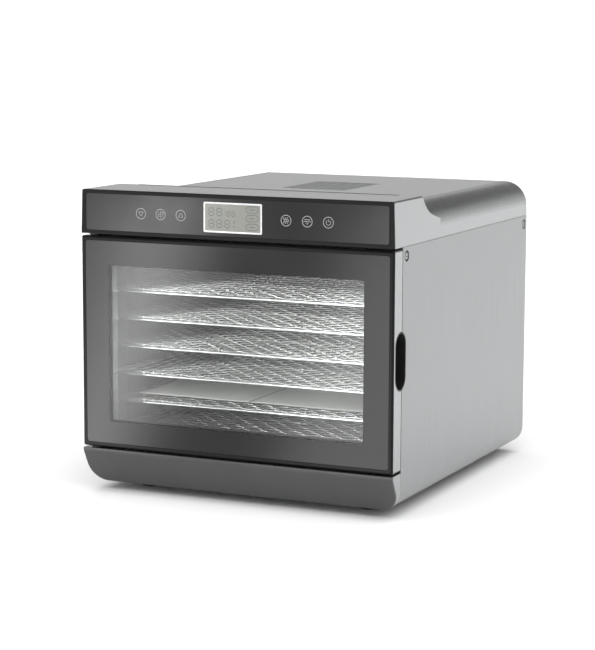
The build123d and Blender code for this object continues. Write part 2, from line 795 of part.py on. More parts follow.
with BuildPart() as heater_brackets:
    for angle in (90, 210, 330):
        post_x = heater_radius * cos(radians(angle))
        post_z = cavity_mid_z + heater_radius * sin(radians(angle))
        rod_back(post_x, post_z, (heater_y + heater_tube, chamber_back_y), heater_tube)
heater_brackets.part.label = "heater_brackets"
export_step(heater_brackets.part, "parts/heater_brackets.step")

with BuildPart() as thermal_cutout:
    cutout_x, cutout_z = cutout_offset[0], cavity_mid_z + cutout_offset[1]
    cutout_y = (chamber_back_y + sheet, chamber_back_y + sheet + cutout_length)
    rod_back(cutout_x, cutout_z, cutout_y, cutout_radius)
thermal_cutout.part.label = "thermal_cutout"
export_step(thermal_cutout.part, "parts/thermal_cutout.step")

with BuildPart() as temperature_probe:
    rod_up(probe_x, probe_y, (cavity_roof_z - probe_length, cavity_roof_z + liner), probe_radius)
    fillet(temperature_probe.edges().sort_by(Axis.Z)[0], probe_radius - 0.5)
    rod_up(probe_x, probe_y, (cavity_roof_z + liner, cavity_roof_z + liner + 4), 2.2 * probe_radius)
temperature_probe.part.label = "temperature_probe"
export_step(temperature_probe.part, "parts/temperature_probe.step")

with BuildPart() as power_board:
    board_x, board_mid_y = power_board_centre[0], front_y + power_board_centre[1]
    board_low_z = cavity_roof_z + liner + power_board_rise
    board_top_z = board_low_z + board_thickness
    with Locations((board_x, board_mid_y, board_low_z)):
        Box(*power_board_size, board_thickness, align=(Align.CENTER, Align.CENTER, Align.MIN))
    with Locations((board_x + transformer_place[0], board_mid_y + transformer_place[1], board_top_z)):
        Box(*transformer_size, align=(Align.CENTER, Align.CENTER, Align.MIN))
    for relay_x, relay_y in relay_places:
        with Locations((board_x + relay_x, board_mid_y + relay_y, board_top_z)):
            Box(*relay_size, align=(Align.CENTER, Align.CENTER, Align.MIN))
    for leg_x in (-1, 1):
        for leg_y in (-1, 1):
            rod_up(
                board_x + leg_x * (power_board_size[0] / 2 - board_leg_inset),
                board_mid_y + leg_y * (power_board_size[1] / 2 - board_leg_inset),
                (cavity_roof_z + liner, board_low_z),
                boss_radius,
            )
power_board.part.label = "power_board"
export_step(power_board.part, "parts/power_board.step")

with BuildPart() as terminal_block:
    terminal_z = gland_z + gland_flange_radius + terminal_rise
    span(
        (gland_x - terminal_size[0] / 2, gland_x + terminal_size[0] / 2),
        (rear_panel_y - terminal_size[1], rear_panel_y),
        (terminal_z, terminal_z + terminal_size[2]),
    )
    with BuildSketch(Plane.XY.offset(terminal_z)):
        with Locations((gland_x, rear_panel_y - terminal_size[1] / 2)):
            with GridLocations(terminal_size[0] / terminal_ways, 0, terminal_ways, 1):
                Circle(terminal_hole_radius)
    extrude(amount=terminal_size[2], mode=Mode.SUBTRACT)
terminal_block.part.label = "terminal_block"
export_step(terminal_block.part, "parts/terminal_block.step")

with BuildPart() as cord_gland:
    panel_rear_y = rear_panel_y + sheet
    rod_back(gland_x, gland_z, (panel_rear_y, panel_rear_y + gland_flange_length), gland_flange_radius)
    chamfer(cord_gland.edges().filter_by(GeomType.CIRCLE).sort_by(Axis.Y)[-1], 1.5)
    rod_back(gland_x, gland_z, (rear_panel_y - 6, panel_rear_y), gland_hole_radius)
    rod_back(gland_x, gland_z, (rear_panel_y - 4, rear_panel_y), gland_flange_radius - 1)
    rod_back(gland_x, gland_z, (rear_panel_y - 9, rear_y + gland_flange_length), gland_bore_radius, Mode.SUBTRACT)
cord_gland.part.label = "cord_gland"
export_step(cord_gland.part, "parts/cord_gland.step")

# =============================================================================
# Motor and fan
# =============================================================================

stator_y_span = (stator_y, stator_y + stator_length)
yoke_low_z = cavity_mid_z - stator_below
yoke_high_z = yoke_low_z + coil_yoke
post_x = motor_post_spacing / 2
with BuildPart() as motor_stator:
    span(
        (-stator_width / 2, stator_width / 2),
        stator_y_span,
        (yoke_low_z, cavity_mid_z + stator_above),
    )
    rod_back(0, cavity_mid_z, stator_y_span, rotor_radius + rotor_gap, mode=Mode.SUBTRACT)
    span(
        (-coil_window[0] / 2, coil_window[0] / 2),
        stator_y_span,
        (yoke_high_z, yoke_high_z + coil_window[1]),
        mode=Mode.SUBTRACT,
    )
    for side in (-1, 1):
        rod_back(side * post_x, cavity_mid_z, stator_y_span, motor_post_radius, mode=Mode.SUBTRACT)
motor_stator.part.label = "motor_stator"
export_step(motor_stator.part, "parts/motor_stator.step")

with BuildPart() as motor_coil:
    coil_x = (-coil_width / 2, coil_width / 2)
    span(
        coil_x,
        (stator_y_span[0] - coil_wall, stator_y_span[1] + coil_wall),
        (yoke_low_z - coil_wall, yoke_high_z + coil_wall),
    )
    fillet(motor_coil.edges().filter_by(Axis.X), 3.0)
    span(coil_x, stator_y_span, (yoke_low_z, yoke_high_z), mode=Mode.SUBTRACT)
motor_coil.part.label = "motor_coil"
export_step(motor_coil.part, "parts/motor_coil.step")

front_strap_y = stator_y_span[0] - bearing_length
rear_strap_y = stator_y_span[1] + bearing_length - bracket_thickness
with BuildPart() as motor_bracket:
    for strap_y in (front_strap_y, rear_strap_y):
        span(
            (-stator_width / 2, stator_width / 2),
            (strap_y, strap_y + bracket_thickness),
            (cavity_mid_z - motor_bracket_width / 2 - 2, cavity_mid_z + motor_bracket_width / 2 + 2),
        )
    for side in (-1, 1):
        rod_back(
            side * post_x,
            cavity_mid_z,
            (chamber_back_y + sheet, rear_strap_y + bracket_thickness + 3),
            motor_post_radius,
        )
    rod_back(0, cavity_mid_z, (chamber_back_y, back_y), bearing_radius, mode=Mode.SUBTRACT)
motor_bracket.part.label = "motor_bracket"
export_step(motor_bracket.part, "parts/motor_bracket.step")

front_bearing_y = front_strap_y + bracket_thickness / 2 - bearing_length / 2
rear_bearing_y = rear_strap_y + bracket_thickness / 2 - bearing_length / 2
with BuildPart() as motor_bearings:
    for bearing_y in (front_bearing_y, rear_bearing_y):
        rod_back(0, cavity_mid_z, (bearing_y, bearing_y + bearing_length), bearing_radius)
        rod_back(
            0,
            cavity_mid_z,
            (bearing_y, bearing_y + bearing_length),
            shaft_radius + bearing_gap,
            mode=Mode.SUBTRACT,
        )
motor_bearings.part.label = "motor_bearings"
export_step(motor_bearings.part, "parts/motor_bearings.step")

with BuildPart() as motor_rotor:
    rod_back(0, cavity_mid_z, (stator_y_span[0] + 1, stator_y_span[1] - 1), rotor_radius)
    rod_back(0, cavity_mid_z, stator_y_span, shaft_radius, mode=Mode.SUBTRACT)
motor_rotor.part.label = "motor_rotor"
export_step(motor_rotor.part, "parts/motor_rotor.step")

with BuildPart() as motor_shaft:
    rod_back(0, cavity_mid_z, (fan_y - 4, rear_bearing_y + bearing_length + 2), shaft_radius)
    chamfer(motor_shaft.edges().filter_by(GeomType.CIRCLE), 0.5)
motor_shaft.part.label = "motor_shaft"
export_step(motor_shaft.part, "parts/motor_shaft.step")

fan_mid_y = fan_y + hub_length / 2
with BuildPart(mode=Mode.PRIVATE) as blade:
    tilt = radians(blade_pitch)
    with BuildSketch(Plane(origin=(0, 0, 0), x_dir=(1, 0, 0), z_dir=(0, sin(tilt), cos(tilt)))):
        with BuildLine():
            Polyline(
                (hub_radius - 1, -8),
                (fan_radius, -20),
                (fan_radius, 20),
                (hub_radius - 1, 8),
                close=True,
            )
        make_face()
    extrude(amount=blade_thickness / 2, both=True)

with BuildPart(facing(fan_mid_y)) as fan_impeller:
    with Locations((0, cavity_mid_z)):
        Cylinder(hub_radius, hub_length)
        with PolarLocations(0, fan_blades):
            add(blade.part)
        Cylinder(fan_radius, 3 * hub_length, mode=Mode.INTERSECT)
        Cylinder(shaft_radius, 2 * hub_length, mode=Mode.SUBTRACT)
fan_impeller.part.label = "fan_impeller"
export_step(fan_impeller.part, "parts/fan_impeller.step")

# =============================================================================
# Door, hinged on the left
# =============================================================================

door_x = (-half_width, half_width)
door_z = (door_bottom_z, door_top_z)
opening_x = (-window_half_width - 1.8, window_half_width + 1.8)
opening_z = (window_low_z - 1.8, window_high_z + 1.8)
with BuildPart() as door_rim:
    with BuildSketch(facing(front_y)):
        frame_face(door_x, door_z, door_corner)
        with BuildSketch(mode=Mode.SUBTRACT):
            frame_face(
                (door_x[0] + rim_width, door_x[1] - rim_width),
                (door_z[0] + rim_width, door_z[1] - rim_width),
                3.0,
            )
    extrude(amount=-rim_depth)
    outer_edges = door_rim.faces().sort_by(Axis.Y)[0].outer_wire().edges()
    left_edge = outer_edges.sort_by(Axis.X)[0]
    fillet(left_edge, edge_radius)
door_rim.part.label = "door_rim"
export_step(door_rim.part, "parts/door_rim.step")

with BuildPart() as door_glass:
    with BuildSketch(facing(glass_y)):
        glass_inset = rim_width + fit_gap
        frame_face(
            (door_x[0] + glass_inset, door_x[1] - glass_inset),
            (door_z[0] + glass_inset, door_z[1] - glass_inset),
            3.0 - fit_gap,
        )
    extrude(amount=-glass_thickness)
door_glass.part.label = "door_glass"
export_step(door_glass.part, "parts/door_glass.step")

with BuildPart() as door_inner_frame:
    with BuildSketch(facing(inner_frame_y)):
        seat_inset = door_wall + fit_gap
        frame_face(
            (door_x[0] + seat_inset, door_x[1] - seat_inset),
            (door_z[0] + seat_inset, door_z[1] - seat_inset),
            1.0,
        )
        with BuildSketch(mode=Mode.SUBTRACT):
            frame_face((-window_half_width, window_half_width), (window_low_z, window_high_z), 1.0)
    extrude(amount=-inner_frame_thickness)
    pull_prism(0, pull_depth + pull_wall, Mode.SUBTRACT)
door_inner_frame.part.label = "door_inner_frame"
export_step(door_inner_frame.part, "parts/door_inner_frame.step")

magnet_x = (half_width - magnet_inset - magnet_size[0], half_width - magnet_inset)
magnet_levels = (door_bottom_z + magnet_end_inset, door_top_z - magnet_end_inset)


def door_ring(inset, y):
    """The door's frame between two depths, with its walls moved in by inset from each side."""
    with BuildSketch(facing(y[0])) as section:
        frame_face(
            (door_x[0] + inset, door_x[1] - inset),
            (door_z[0] + inset, door_z[1] - inset),
            max(door_corner - inset, 0.3),
        )
        with BuildSketch(mode=Mode.SUBTRACT):
            frame_face(
                (opening_x[0] - inset, opening_x[1] + inset),
                (opening_z[0] - inset, opening_z[1] + inset),
                1.0 + inset,
            )
    extrude(section.sketch, amount=y[0] - y[1])


def hinge_side_round(inset):
    """Keeps what lies inside the door's plan, whose rear hinge corner is round about the pin."""
    with BuildSketch(Plane.XY) as plan:
        with Locations((0, (front_y + door_rear_y) / 2)):
            Rectangle(width - 2 * inset, door_thickness - 2 * inset)
        left_points = plan.vertices().group_by(Axis.X)[0]
        fillet(left_points.sort_by(Axis.Y)[-1], hinge_setback - inset)
    extrude(plan.sketch, amount=height, mode=Mode.INTERSECT)


with BuildPart() as door_frame:
    door_ring(0, (front_y + rim_depth, door_rear_y))
    hinge_side_round(0)
    with BuildPart(mode=Mode.PRIVATE) as door_hollow:
        door_ring(door_wall, (door_frame_y, door_rear_y - door_wall))
        hinge_side_round(door_wall)
    add(door_hollow.part, mode=Mode.SUBTRACT)
    for boss_z in (
        (door_bottom_z + door_wall, door_bottom_z + hinge_boss_length),
        (door_top_z - hinge_boss_length, door_top_z - door_wall),
    ):
        rod_up(hinge_x, hinge_y, boss_z, hinge_setback - door_wall)
    span(
        (door_x[0] + door_wall, door_x[1] - door_wall),
        (front_y, door_frame_y),
        (door_z[0] + door_wall, door_z[1] - door_wall),
        mode=Mode.SUBTRACT,
    )
    for hole_z in (
        (door_bottom_z, door_bottom_z + hinge_pin_engagement),
        (door_top_z - hinge_pin_engagement, door_top_z),
    ):
        rod_up(hinge_x, hinge_y, hole_z, hinge_pin_radius, mode=Mode.SUBTRACT)
    for level in magnet_levels:
        magnet_z = (level - magnet_size[1] / 2, level + magnet_size[1] / 2)
        span(magnet_x, (door_rear_y - door_wall, door_rear_y), magnet_z, mode=Mode.SUBTRACT)
    pull_prism(0, pull_depth + pull_wall, Mode.SUBTRACT)
door_frame.part.label = "door_frame"
export_step(door_frame.part, "parts/door_frame.step")

with BuildPart() as door_magnets:
    for level in magnet_levels:
        magnet_z = (level - magnet_size[1] / 2, level + magnet_size[1] / 2)
        span(magnet_x, (door_rear_y - door_wall, door_rear_y - 0.1), magnet_z)
door_magnets.part.label = "door_magnets"
export_step(door_magnets.part, "parts/door_magnets.step")

with BuildPart() as door_seal:
    with BuildSketch(facing(door_rear_y)):
        seal_inner = seal_inset
        seal_outer = seal_inset + seal_width
        frame_face(
            (cavity_x[0] - seal_outer, cavity_x[1] + seal_outer),
            (cavity_z[0] - seal_outer, cavity_z[1] + seal_outer),
            frame_corner + seal_outer,
        )
        with BuildSketch(mode=Mode.SUBTRACT):
            frame_face(
                (cavity_x[0] - seal_inner, cavity_x[1] + seal_inner),
                (cavity_z[0] - seal_inner, cavity_z[1] + seal_inner),
                frame_corner + seal_inner,
            )
    extrude(amount=-seal_thickness)
door_seal.part.label = "door_seal"
export_step(door_seal.part, "parts/door_seal.step")

pin_z_spans = (
    (valance_top_z - bush_barrel + 0.5, door_bottom_z + hinge_pin_engagement),
    (door_top_z - hinge_pin_engagement, head_bottom_z + bush_barrel - 0.5),
)
with BuildPart() as hinge_pins:
    for pin_z in pin_z_spans:
        rod_up(hinge_x, hinge_y, pin_z, hinge_pin_radius)
    chamfer(hinge_pins.edges().filter_by(GeomType.CIRCLE), 0.3)
hinge_pins.part.label = "hinge_pins"
export_step(hinge_pins.part, "parts/hinge_pins.step")

with BuildPart() as hinge_bushes:
    rod_up(hinge_x, hinge_y, (valance_top_z - bush_barrel, valance_top_z), hinge_bush_radius)
    rod_up(hinge_x, hinge_y, (valance_top_z, door_bottom_z - hinge_washer_gap), hinge_washer_radius)
    rod_up(hinge_x, hinge_y, (head_bottom_z, head_bottom_z + bush_barrel), hinge_bush_radius)
    rod_up(hinge_x, hinge_y, (door_top_z + hinge_washer_gap, head_bottom_z), hinge_washer_radius)
    rod_up(hinge_x, hinge_y, (0, height), hinge_pin_radius + bearing_gap, mode=Mode.SUBTRACT)
hinge_bushes.part.label = "hinge_bushes"
export_step(hinge_bushes.part, "parts/hinge_bushes.step")


def pull_cup(y):
    """The part of the finger pull's cup between two depths."""
    pull_prism(0, pull_depth + pull_wall, Mode.ADD)
    pull_prism(pull_wall, pull_depth, Mode.SUBTRACT)
    with Locations((half_width / 2, (y[0] + y[1]) / 2, pull_centre_z)):
        Box(width / 2 + 50, y[1] - y[0], height, mode=Mode.INTERSECT)
    with Locations((half_width + 5, pull_y, pull_centre_z)):
        Box(10, 2 * pull_width, height, mode=Mode.SUBTRACT)


with BuildPart() as door_pull_cup:
    pull_cup((front_y, door_rear_y))
door_pull_cup.part.label = "door_pull_cup"
export_step(door_pull_cup.part, "parts/door_pull_cup.step")

with BuildPart() as body_pull_cup:
    pull_cup((body_front_y, body_front_y + pull_width))
body_pull_cup.part.label = "body_pull_cup"
export_step(body_pull_cup.part, "parts/body_pull_cup.step")

# =============================================================================
# Trays and the mesh sheets that lie on one of them
# =============================================================================

mesh_wire_radius = mesh_wire / 2


def tray_shape(level):
    """A rim of thick wire with ribs across it, under two layers of thin wires."""
    rim_x = tray_half_width - wire_radius
    rim_y = (tray_front_y + wire_radius, tray_rear_y - wire_radius)
    middle_y = (rim_y[0] + rim_y[1]) / 2
    with BuildLine(Plane.XY.offset(level)) as rim:
        FilletPolyline(
            (rim_x, rim_y[0]),
            (rim_x, rim_y[1]),
            (-rim_x, rim_y[1]),
            (-rim_x, rim_y[0]),
            radius=tray_corner_radius,
            close=True,
        )
    with BuildSketch(Plane(origin=rim.line @ 0, z_dir=rim.line % 0)) as rim_end:
        Circle(wire_radius)
    sweep(rim_end.sketch, path=rim.wires()[0])
    rib_pitch = (rim_y[1] - rim_y[0]) / (rib_count + 1)
    with BuildSketch(Plane.YZ.offset(-rim_x)) as ribs:
        with Locations((middle_y, level)):
            with GridLocations(rib_pitch, 0, rib_count, 1):
                Circle(wire_radius)
    extrude(ribs.sketch, amount=2 * rim_x)

    across_z = level + wire_radius + mesh_gap + mesh_wire_radius
    along_z = across_z + mesh_wire + mesh_gap
    across_count = int((rim_y[1] - rim_y[0]) / mesh_pitch) + 1
    along_count = int(2 * rim_x / mesh_pitch) + 1
    with BuildSketch(Plane.YZ.offset(-rim_x)) as across_wires:
        with Locations((middle_y, across_z)):
            with GridLocations(mesh_pitch, 0, across_count, 1):
                Circle(mesh_wire_radius)
    extrude(across_wires.sketch, amount=2 * rim_x)
    with BuildSketch(facing(rim_y[0])) as along_wires:
        with Locations((0, along_z)):
            with GridLocations(mesh_pitch, 0, along_count, 1):
                Circle(mesh_wire_radius)
    extrude(along_wires.sketch, amount=rim_y[0] - rim_y[1])


for number, level in enumerate(tray_levels, start=1):
    with BuildPart() as tray:
        tray_shape(level)
    tray.part.label = f"tray_{number}"
    export_step(tray.part, f"parts/tray_{number}.step")

with BuildPart() as mesh_sheets:
    laid_z = tray_levels[sheet_tray] + wire_radius + 2 * (mesh_wire + mesh_gap)
    sheet_width = tray_half_width - (mesh_sheet_side_space + mesh_sheet_gap) / 2
    sheet_y = (tray_front_y + mesh_sheet_setback, tray_rear_y - mesh_sheet_rear_space)
    for side in (-1, 1):
        near = mesh_sheet_shift + side * mesh_sheet_gap / 2
        sheet_x = sorted((near, near + side * sheet_width))
        span(sheet_x, sheet_y, (laid_z, laid_z + mesh_sheet_thickness))
mesh_sheets.part.label = "mesh_sheets"
export_step(mesh_sheets.part, "parts/mesh_sheets.step")

# =============================================================================
# Feet and fasteners
# =============================================================================

with BuildPart() as feet:
    for foot_x, foot_y in foot_places:
        rod_up(foot_x, foot_y, (0, foot_height), foot_radius)
    fillet(feet.edges().filter_by(GeomType.CIRCLE).group_by(Axis.Z)[0], 1.5)
    for foot_x, foot_y in foot_places:
        rod_up(foot_x, foot_y, (0, foot_recess), 2 * screw_shank_radius + 0.4, mode=Mode.SUBTRACT)
        rod_up(foot_x, foot_y, (0, foot_height), screw_shank_radius, mode=Mode.SUBTRACT)
feet.part.label = "feet"
export_step(feet.part, "parts/feet.step")

with BuildPart() as foot_screws:
    for foot_x, foot_y in foot_places:
        rod_up(foot_x, foot_y, (foot_recess - 2.4, foot_recess), 2 * screw_shank_radius)
        rod_up(foot_x, foot_y, (foot_recess, foot_height + sheet + 4), screw_shank_radius)
foot_screws.part.label = "foot_screws"
export_step(foot_screws.part, "parts/foot_screws.step")

with BuildPart() as side_screws:
    for screw_y in side_screw_depths:
        with BuildSketch(Plane.YZ.offset(half_width - sheet)):
            with Locations((screw_y, screw_z)):
                Circle(screw_head_radius)
        extrude(amount=sheet)
        with BuildSketch(Plane.YZ.offset(half_width - sheet)):
            with Locations((screw_y, screw_z)):
                Circle(screw_shank_radius)
        extrude(amount=-screw_length)
    mirror(about=Plane.YZ)
side_screws.part.label = "side_screws"
export_step(side_screws.part, "parts/side_screws.step")

with BuildPart() as rear_screws:
    for screw_x, screw_level in panel_screws:
        head_y = rear_panel_y + sheet
        rod_back(screw_x, screw_level, (head_y, head_y + rear_screw_head_height), rear_screw_head_radius)
        rod_back(screw_x, screw_level, (head_y - screw_length, head_y), screw_shank_radius)
    for screw_x, screw_level in cover_screws:
        head_y = rear_panel_y + sheet + shell
        rod_back(screw_x, screw_level, (head_y, head_y + rear_screw_head_height), rear_screw_head_radius)
        rod_back(screw_x, screw_level, (head_y - screw_length, head_y), screw_shank_radius)
rear_screws.part.label = "rear_screws"
export_step(rear_screws.part, "parts/rear_screws.step")
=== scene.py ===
import json
import math

import bmesh
import bpy
from bpy.props import FloatProperty, FloatVectorProperty, IntProperty, PointerProperty
from mathutils import Matrix, Vector

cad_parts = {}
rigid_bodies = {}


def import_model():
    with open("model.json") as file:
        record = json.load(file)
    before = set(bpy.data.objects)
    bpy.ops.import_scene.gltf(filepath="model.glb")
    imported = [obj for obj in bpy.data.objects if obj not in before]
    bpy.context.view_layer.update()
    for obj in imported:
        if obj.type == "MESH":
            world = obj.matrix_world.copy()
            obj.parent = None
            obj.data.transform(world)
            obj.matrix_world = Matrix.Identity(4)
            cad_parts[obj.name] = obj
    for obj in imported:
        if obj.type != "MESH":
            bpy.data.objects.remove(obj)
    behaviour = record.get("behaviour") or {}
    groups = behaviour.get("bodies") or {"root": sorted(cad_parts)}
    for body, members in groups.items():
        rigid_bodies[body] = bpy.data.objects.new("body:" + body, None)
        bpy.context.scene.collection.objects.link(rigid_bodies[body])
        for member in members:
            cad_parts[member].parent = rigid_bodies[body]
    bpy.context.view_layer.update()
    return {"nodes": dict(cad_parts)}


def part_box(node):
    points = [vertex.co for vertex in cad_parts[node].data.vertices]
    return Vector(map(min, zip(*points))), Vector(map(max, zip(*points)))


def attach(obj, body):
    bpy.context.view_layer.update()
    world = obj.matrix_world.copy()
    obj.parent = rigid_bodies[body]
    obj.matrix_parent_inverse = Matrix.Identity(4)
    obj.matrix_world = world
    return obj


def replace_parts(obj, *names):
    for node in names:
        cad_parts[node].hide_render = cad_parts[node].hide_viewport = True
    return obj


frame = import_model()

bl_info = {
    "name": "Food dehydrator",
    "version": (1, 0, 0),
    "blender": (4, 5, 0),
    "location": "3D View > Sidebar > Dehydrator",
    "description": "Finishes, woven trays, printed glass, touch keys and stage for a dehydrator",
    "category": "Object",
}

MM = 0.001
PRINT_LIFT = 0.05 * MM
TRAYS = [f"tray_{number}" for number in range(1, 7)]
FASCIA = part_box("control_fascia")
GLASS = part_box("door_glass")
DRIFT = (0.3, 0.7)  # the span of a noise pattern that holds nearly all of it
GRAIN_RUN = 120.0  # length of a brushed streak, in millimetres
BLOTCH = 70.0  # size of the soft blotches on brushed sheet, in millimetres
BAND_STEP = 0.314  # gives a Wave texture one band for each unit of its Scale
MERGE = 1e-6
CROWN = 1.06  # height of a screw head's middle, as a share of its edge
BENDS = 4  # bends of a woven wire between one crossing and the next


def srgb(code):
    """The linear red, green and blue of an sRGB hex value."""
    parts = [int(code[at : at + 2], 16) / 255 for at in (1, 3, 5)]
    return tuple(c / 12.92 if c <= 0.04045 else ((c + 0.055) / 1.055) ** 2.4 for c in parts)


def rgba(channels):
    """A colour with full alpha, from three channels."""
    return (*channels, 1.0)


def tone(colour):
    """The linear channels of a hex value, or of one of the colours that a user may change."""
    if colour.startswith("#"):
        return srgb(colour)
    return tuple(getattr(bpy.context.scene.dehydrator_colours, colour))


# --- Sizes and colours that a user may change ---------------------------------


def length(name, description, millimetres):
    """A length property with its default in millimetres."""
    return FloatProperty(
        name=name, description=description, default=millimetres * MM, min=0.0, precision=5, unit="LENGTH"
    )


def colour(name, description, code):
    """A colour property with its default as an sRGB hex value."""
    return FloatVectorProperty(
        name=name, description=description, default=srgb(code), size=3, min=0.0, max=1.0, subtype="COLOR"
    )


class DehydratorWeave(bpy.types.PropertyGroup):
    pitch: length("Mesh pitch", "Distance between neighbouring tray wires", 10.6)
    wire: length("Mesh wire", "Diameter of the woven tray wire", 1.05)
    rim: length("Rim wire", "Diameter of the tray's rim wire", 3.0)
    corner: length("Rim corner", "Radius of the rim's corners", 8.0)
    sides: IntProperty(name="Wire sides", description="Sides of each woven wire", default=6, min=3)


class DehydratorPrint(bpy.types.PropertyGroup):
    ring: length("Key ring", "Radius of the ring round each touch key", 5.3)
    stroke: length("Key stroke", "Width of the touch keys' printed lines", 0.62)
    key_1: length("First key", "Distance of the nearest keys from the middle", 58.0)
    key_2: length("Second key", "Distance of the middle keys from the middle", 80.7)
    key_3: length("Third key", "Distance of the furthest keys from the middle", 103.2)
    side_border: length("Side border", "Black print at each side of the window", 31.3)
    top_border: length("Top border", "Black print above the window", 29.6)
    bottom_border: length("Bottom border", "Black print below the window", 27.9)
    segment: length("Segment width", "Width of a display segment", 0.9)


# Sizes of the cap's grooves and of the dark strips that paint the shade in them
class DehydratorFittings(bpy.types.PropertyGroup):
    seam_x: length("Seam reach", "Distance of the side seams from the middle", 145.1)
    seam_width: length("Seam width", "Width of the cap's grooves", 1.4)
    seam_setback: length("Seam setback", "Distance of the front seam from the cap's front", 80.5)
    crease_setback: length("Crease setback", "Distance of the head's rear edge from the cap's front", 72.6)
    seam_rear: length("Seam end", "Distance of the side seams' ends from the rear", 2.5)
    seam_drop: length("Seam drop", "Depth of the deck below the head", 8.0)
    # Thickness of the dark strips that paint the grooves' shade; they are not a real sealing bead
    shade_strip_depth: length("Bead depth", "Thickness of the bead", 0.7)


class DehydratorColours(bpy.types.PropertyGroup):
    cap: colour("Cap", "Silver paint on the cap and the door's frame", "#A9AAAB")
    steel: colour("Body steel", "Brushed stainless body", "#A2A3A4")
    # Darker than the body's steel: the same stainless, with the cavity's shade painted into its colour
    liner: colour("Liner steel", "Brushed stainless cavity", "#58595A")
    print_black: colour("Border black", "Print on the back of the door glass", "#060607")
    chrome: colour("Chrome", "Plated trays", "#F0F0F1")
    lcd: colour("Display face", "Polariser of the display", "#7E8077")
    lcd_ink: colour("Display segments", "Segments of the display", "#4E5254")
    key_print: colour("Key print", "Printed touch key symbols", "#9C9D9E")
    sheet_white: colour("Drying sheets", "Silicone mesh sheets", "#E9E9E6")


class DehydratorStage(bpy.types.PropertyGroup):
    floor: colour("Floor", "Pale floor", "#F4F4F4")
    overhead: FloatProperty(name="Overhead light", description="Strength of the overhead light", default=2.9)
    front: FloatProperty(name="Front light", description="Power of the light at the front left", default=17.0)
    sky: FloatProperty(name="Surround", description="Strength of the white surround", default=1.0)


# --- Node and mesh helpers ------------------------------------------------------


def add_node(tree, kind, inputs=None, **settings):
    """Adds a node with its settings; each input takes a value or another node's output."""
    node = tree.nodes.new(kind)
    for name, value in settings.items():
        setattr(node, name, value)
    for name, value in (inputs or {}).items():
        if isinstance(value, bpy.types.NodeSocket):
            tree.links.new(value, node.inputs[name])
        else:
            node.inputs[name].default_value = value
    return node


def new_material(name):
    """An empty node material and its tree."""
    material = bpy.data.materials.new(name)
    material.use_nodes = True
    material.node_tree.nodes.clear()
    return material, material.node_tree


def show(tree, shader):
    """Sends a shader to the material's surface."""
    add_node(tree, "ShaderNodeOutputMaterial", {"Surface": shader.outputs[0]})


def pattern_place(tree, scale=(1, 1, 1), rotation=(0, 0, 0)):
    """Object coordinates scaled and turned for a pattern."""
    coordinates = add_node(tree, "ShaderNodeTexCoord")
    inputs = {"Vector": coordinates.outputs["Object"], "Scale": scale, "Rotation": rotation}
    return add_node(tree, "ShaderNodeMapping", inputs).outputs["Vector"]


def soft_pattern(tree, size, detail):
    """Noise fixed to the piece; size is its grain in millimetres, or one for each axis."""
    sizes = size if isinstance(size, tuple) else (size,) * 3
    place = pattern_place(tree, tuple(1 / (step * MM) for step in sizes))
    noise = add_node(tree, "ShaderNodeTexNoise", {"Vector": place, "Scale": 1.0, "Detail": detail})
    return noise.outputs["Fac"]


def show_finish(
    tree, base, shade, pattern, roughness, extra=None, spread=DRIFT, relief=None, gloss_pattern=None
):
    """Shows a surface whose colour goes from base to shade as the pattern rises through spread.

    shade is a colour or a share of base. roughness is a value, or two that follow gloss_pattern or the
    pattern. relief is a bump's pattern, strength and depth. extra goes to the shader as it is."""
    target = shade if isinstance(shade, tuple) else tuple(min(1.0, c * shade) for c in base)
    start, end = spread
    drift = add_node(tree, "ShaderNodeMapRange", {"Value": pattern, "From Min": start, "From Max": end})
    mix = add_node(
        tree,
        "ShaderNodeMix",
        {"Factor": drift.outputs["Result"], "A": rgba(base), "B": rgba(target)},
        data_type="RGBA",
    )
    inputs = {"Base Color": mix.outputs["Result"], "Roughness": roughness, **(extra or {})}
    if isinstance(roughness, tuple):
        limits = {"From Min": DRIFT[0], "From Max": DRIFT[1], "To Min": roughness[0], "To Max": roughness[1]}
        follows = pattern if gloss_pattern is None else gloss_pattern
        gloss = add_node(tree, "ShaderNodeMapRange", {"Value": follows, **limits})
        inputs["Roughness"] = gloss.outputs["Result"]
    if relief:
        height, strength, depth = relief
        bump = add_node(tree, "ShaderNodeBump", {"Height": height, "Strength": strength, "Distance": depth})
        inputs["Normal"] = bump.outputs["Normal"]
    show(tree, add_node(tree, "ShaderNodeBsdfPrincipled", inputs))


def place_mesh(name, bm, material, body):
    """Turns a bmesh into a piece that rides on a body with one material."""
    mesh = mesh_of(bm, name)
    mesh.materials.append(material)
    piece = bpy.data.objects.new(name, mesh)
    bpy.context.scene.collection.objects.link(piece)
    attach(piece, body)
    return piece


# --- Finishes -------------------------------------------------------------------


def brushed_sheet(tree, colour, roughness, grain_along, streak, depth=0.25, shade=0.86):
    """Stainless or galvanised sheet with a linear grain; grain_along is the axis that it runs along.

    The real grain is about 0.05 mm wide; streak is the width in millimetres that it is drawn with, so
    that it shows."""
    grain = soft_pattern(tree, tuple(GRAIN_RUN if axis == grain_along else streak for axis in "XYZ"), 3.0)
    blotch = soft_pattern(tree, BLOTCH, 2.0)
    streaked = add_node(tree, "ShaderNodeMath", {0: grain, 1: blotch}, operation="MULTIPLY")
    show_finish(
        tree,
        tone(colour),
        shade,
        streaked.outputs[0],
        (roughness - 0.05, roughness + 0.07),
        {"Metallic": 1.0},
        spread=(0.1, 0.45),
        relief=(grain, depth, 0.03 * MM),
        gloss_pattern=grain,
    )


def painted_sheet(tree, colour, roughness):
    """Silver paint on steel or plastic: fine aluminium flakes under a slightly uneven skin."""
    flakes = soft_pattern(tree, 0.5, 1.0)
    peel = soft_pattern(tree, 4.0, 2.0)
    gloss = (roughness - 0.03, roughness + 0.04)
    show_finish(
        tree, tone(colour), 0.94, flakes, gloss, {"Metallic": 0.9}, relief=(peel, 0.06, 0.1 * MM)
    )


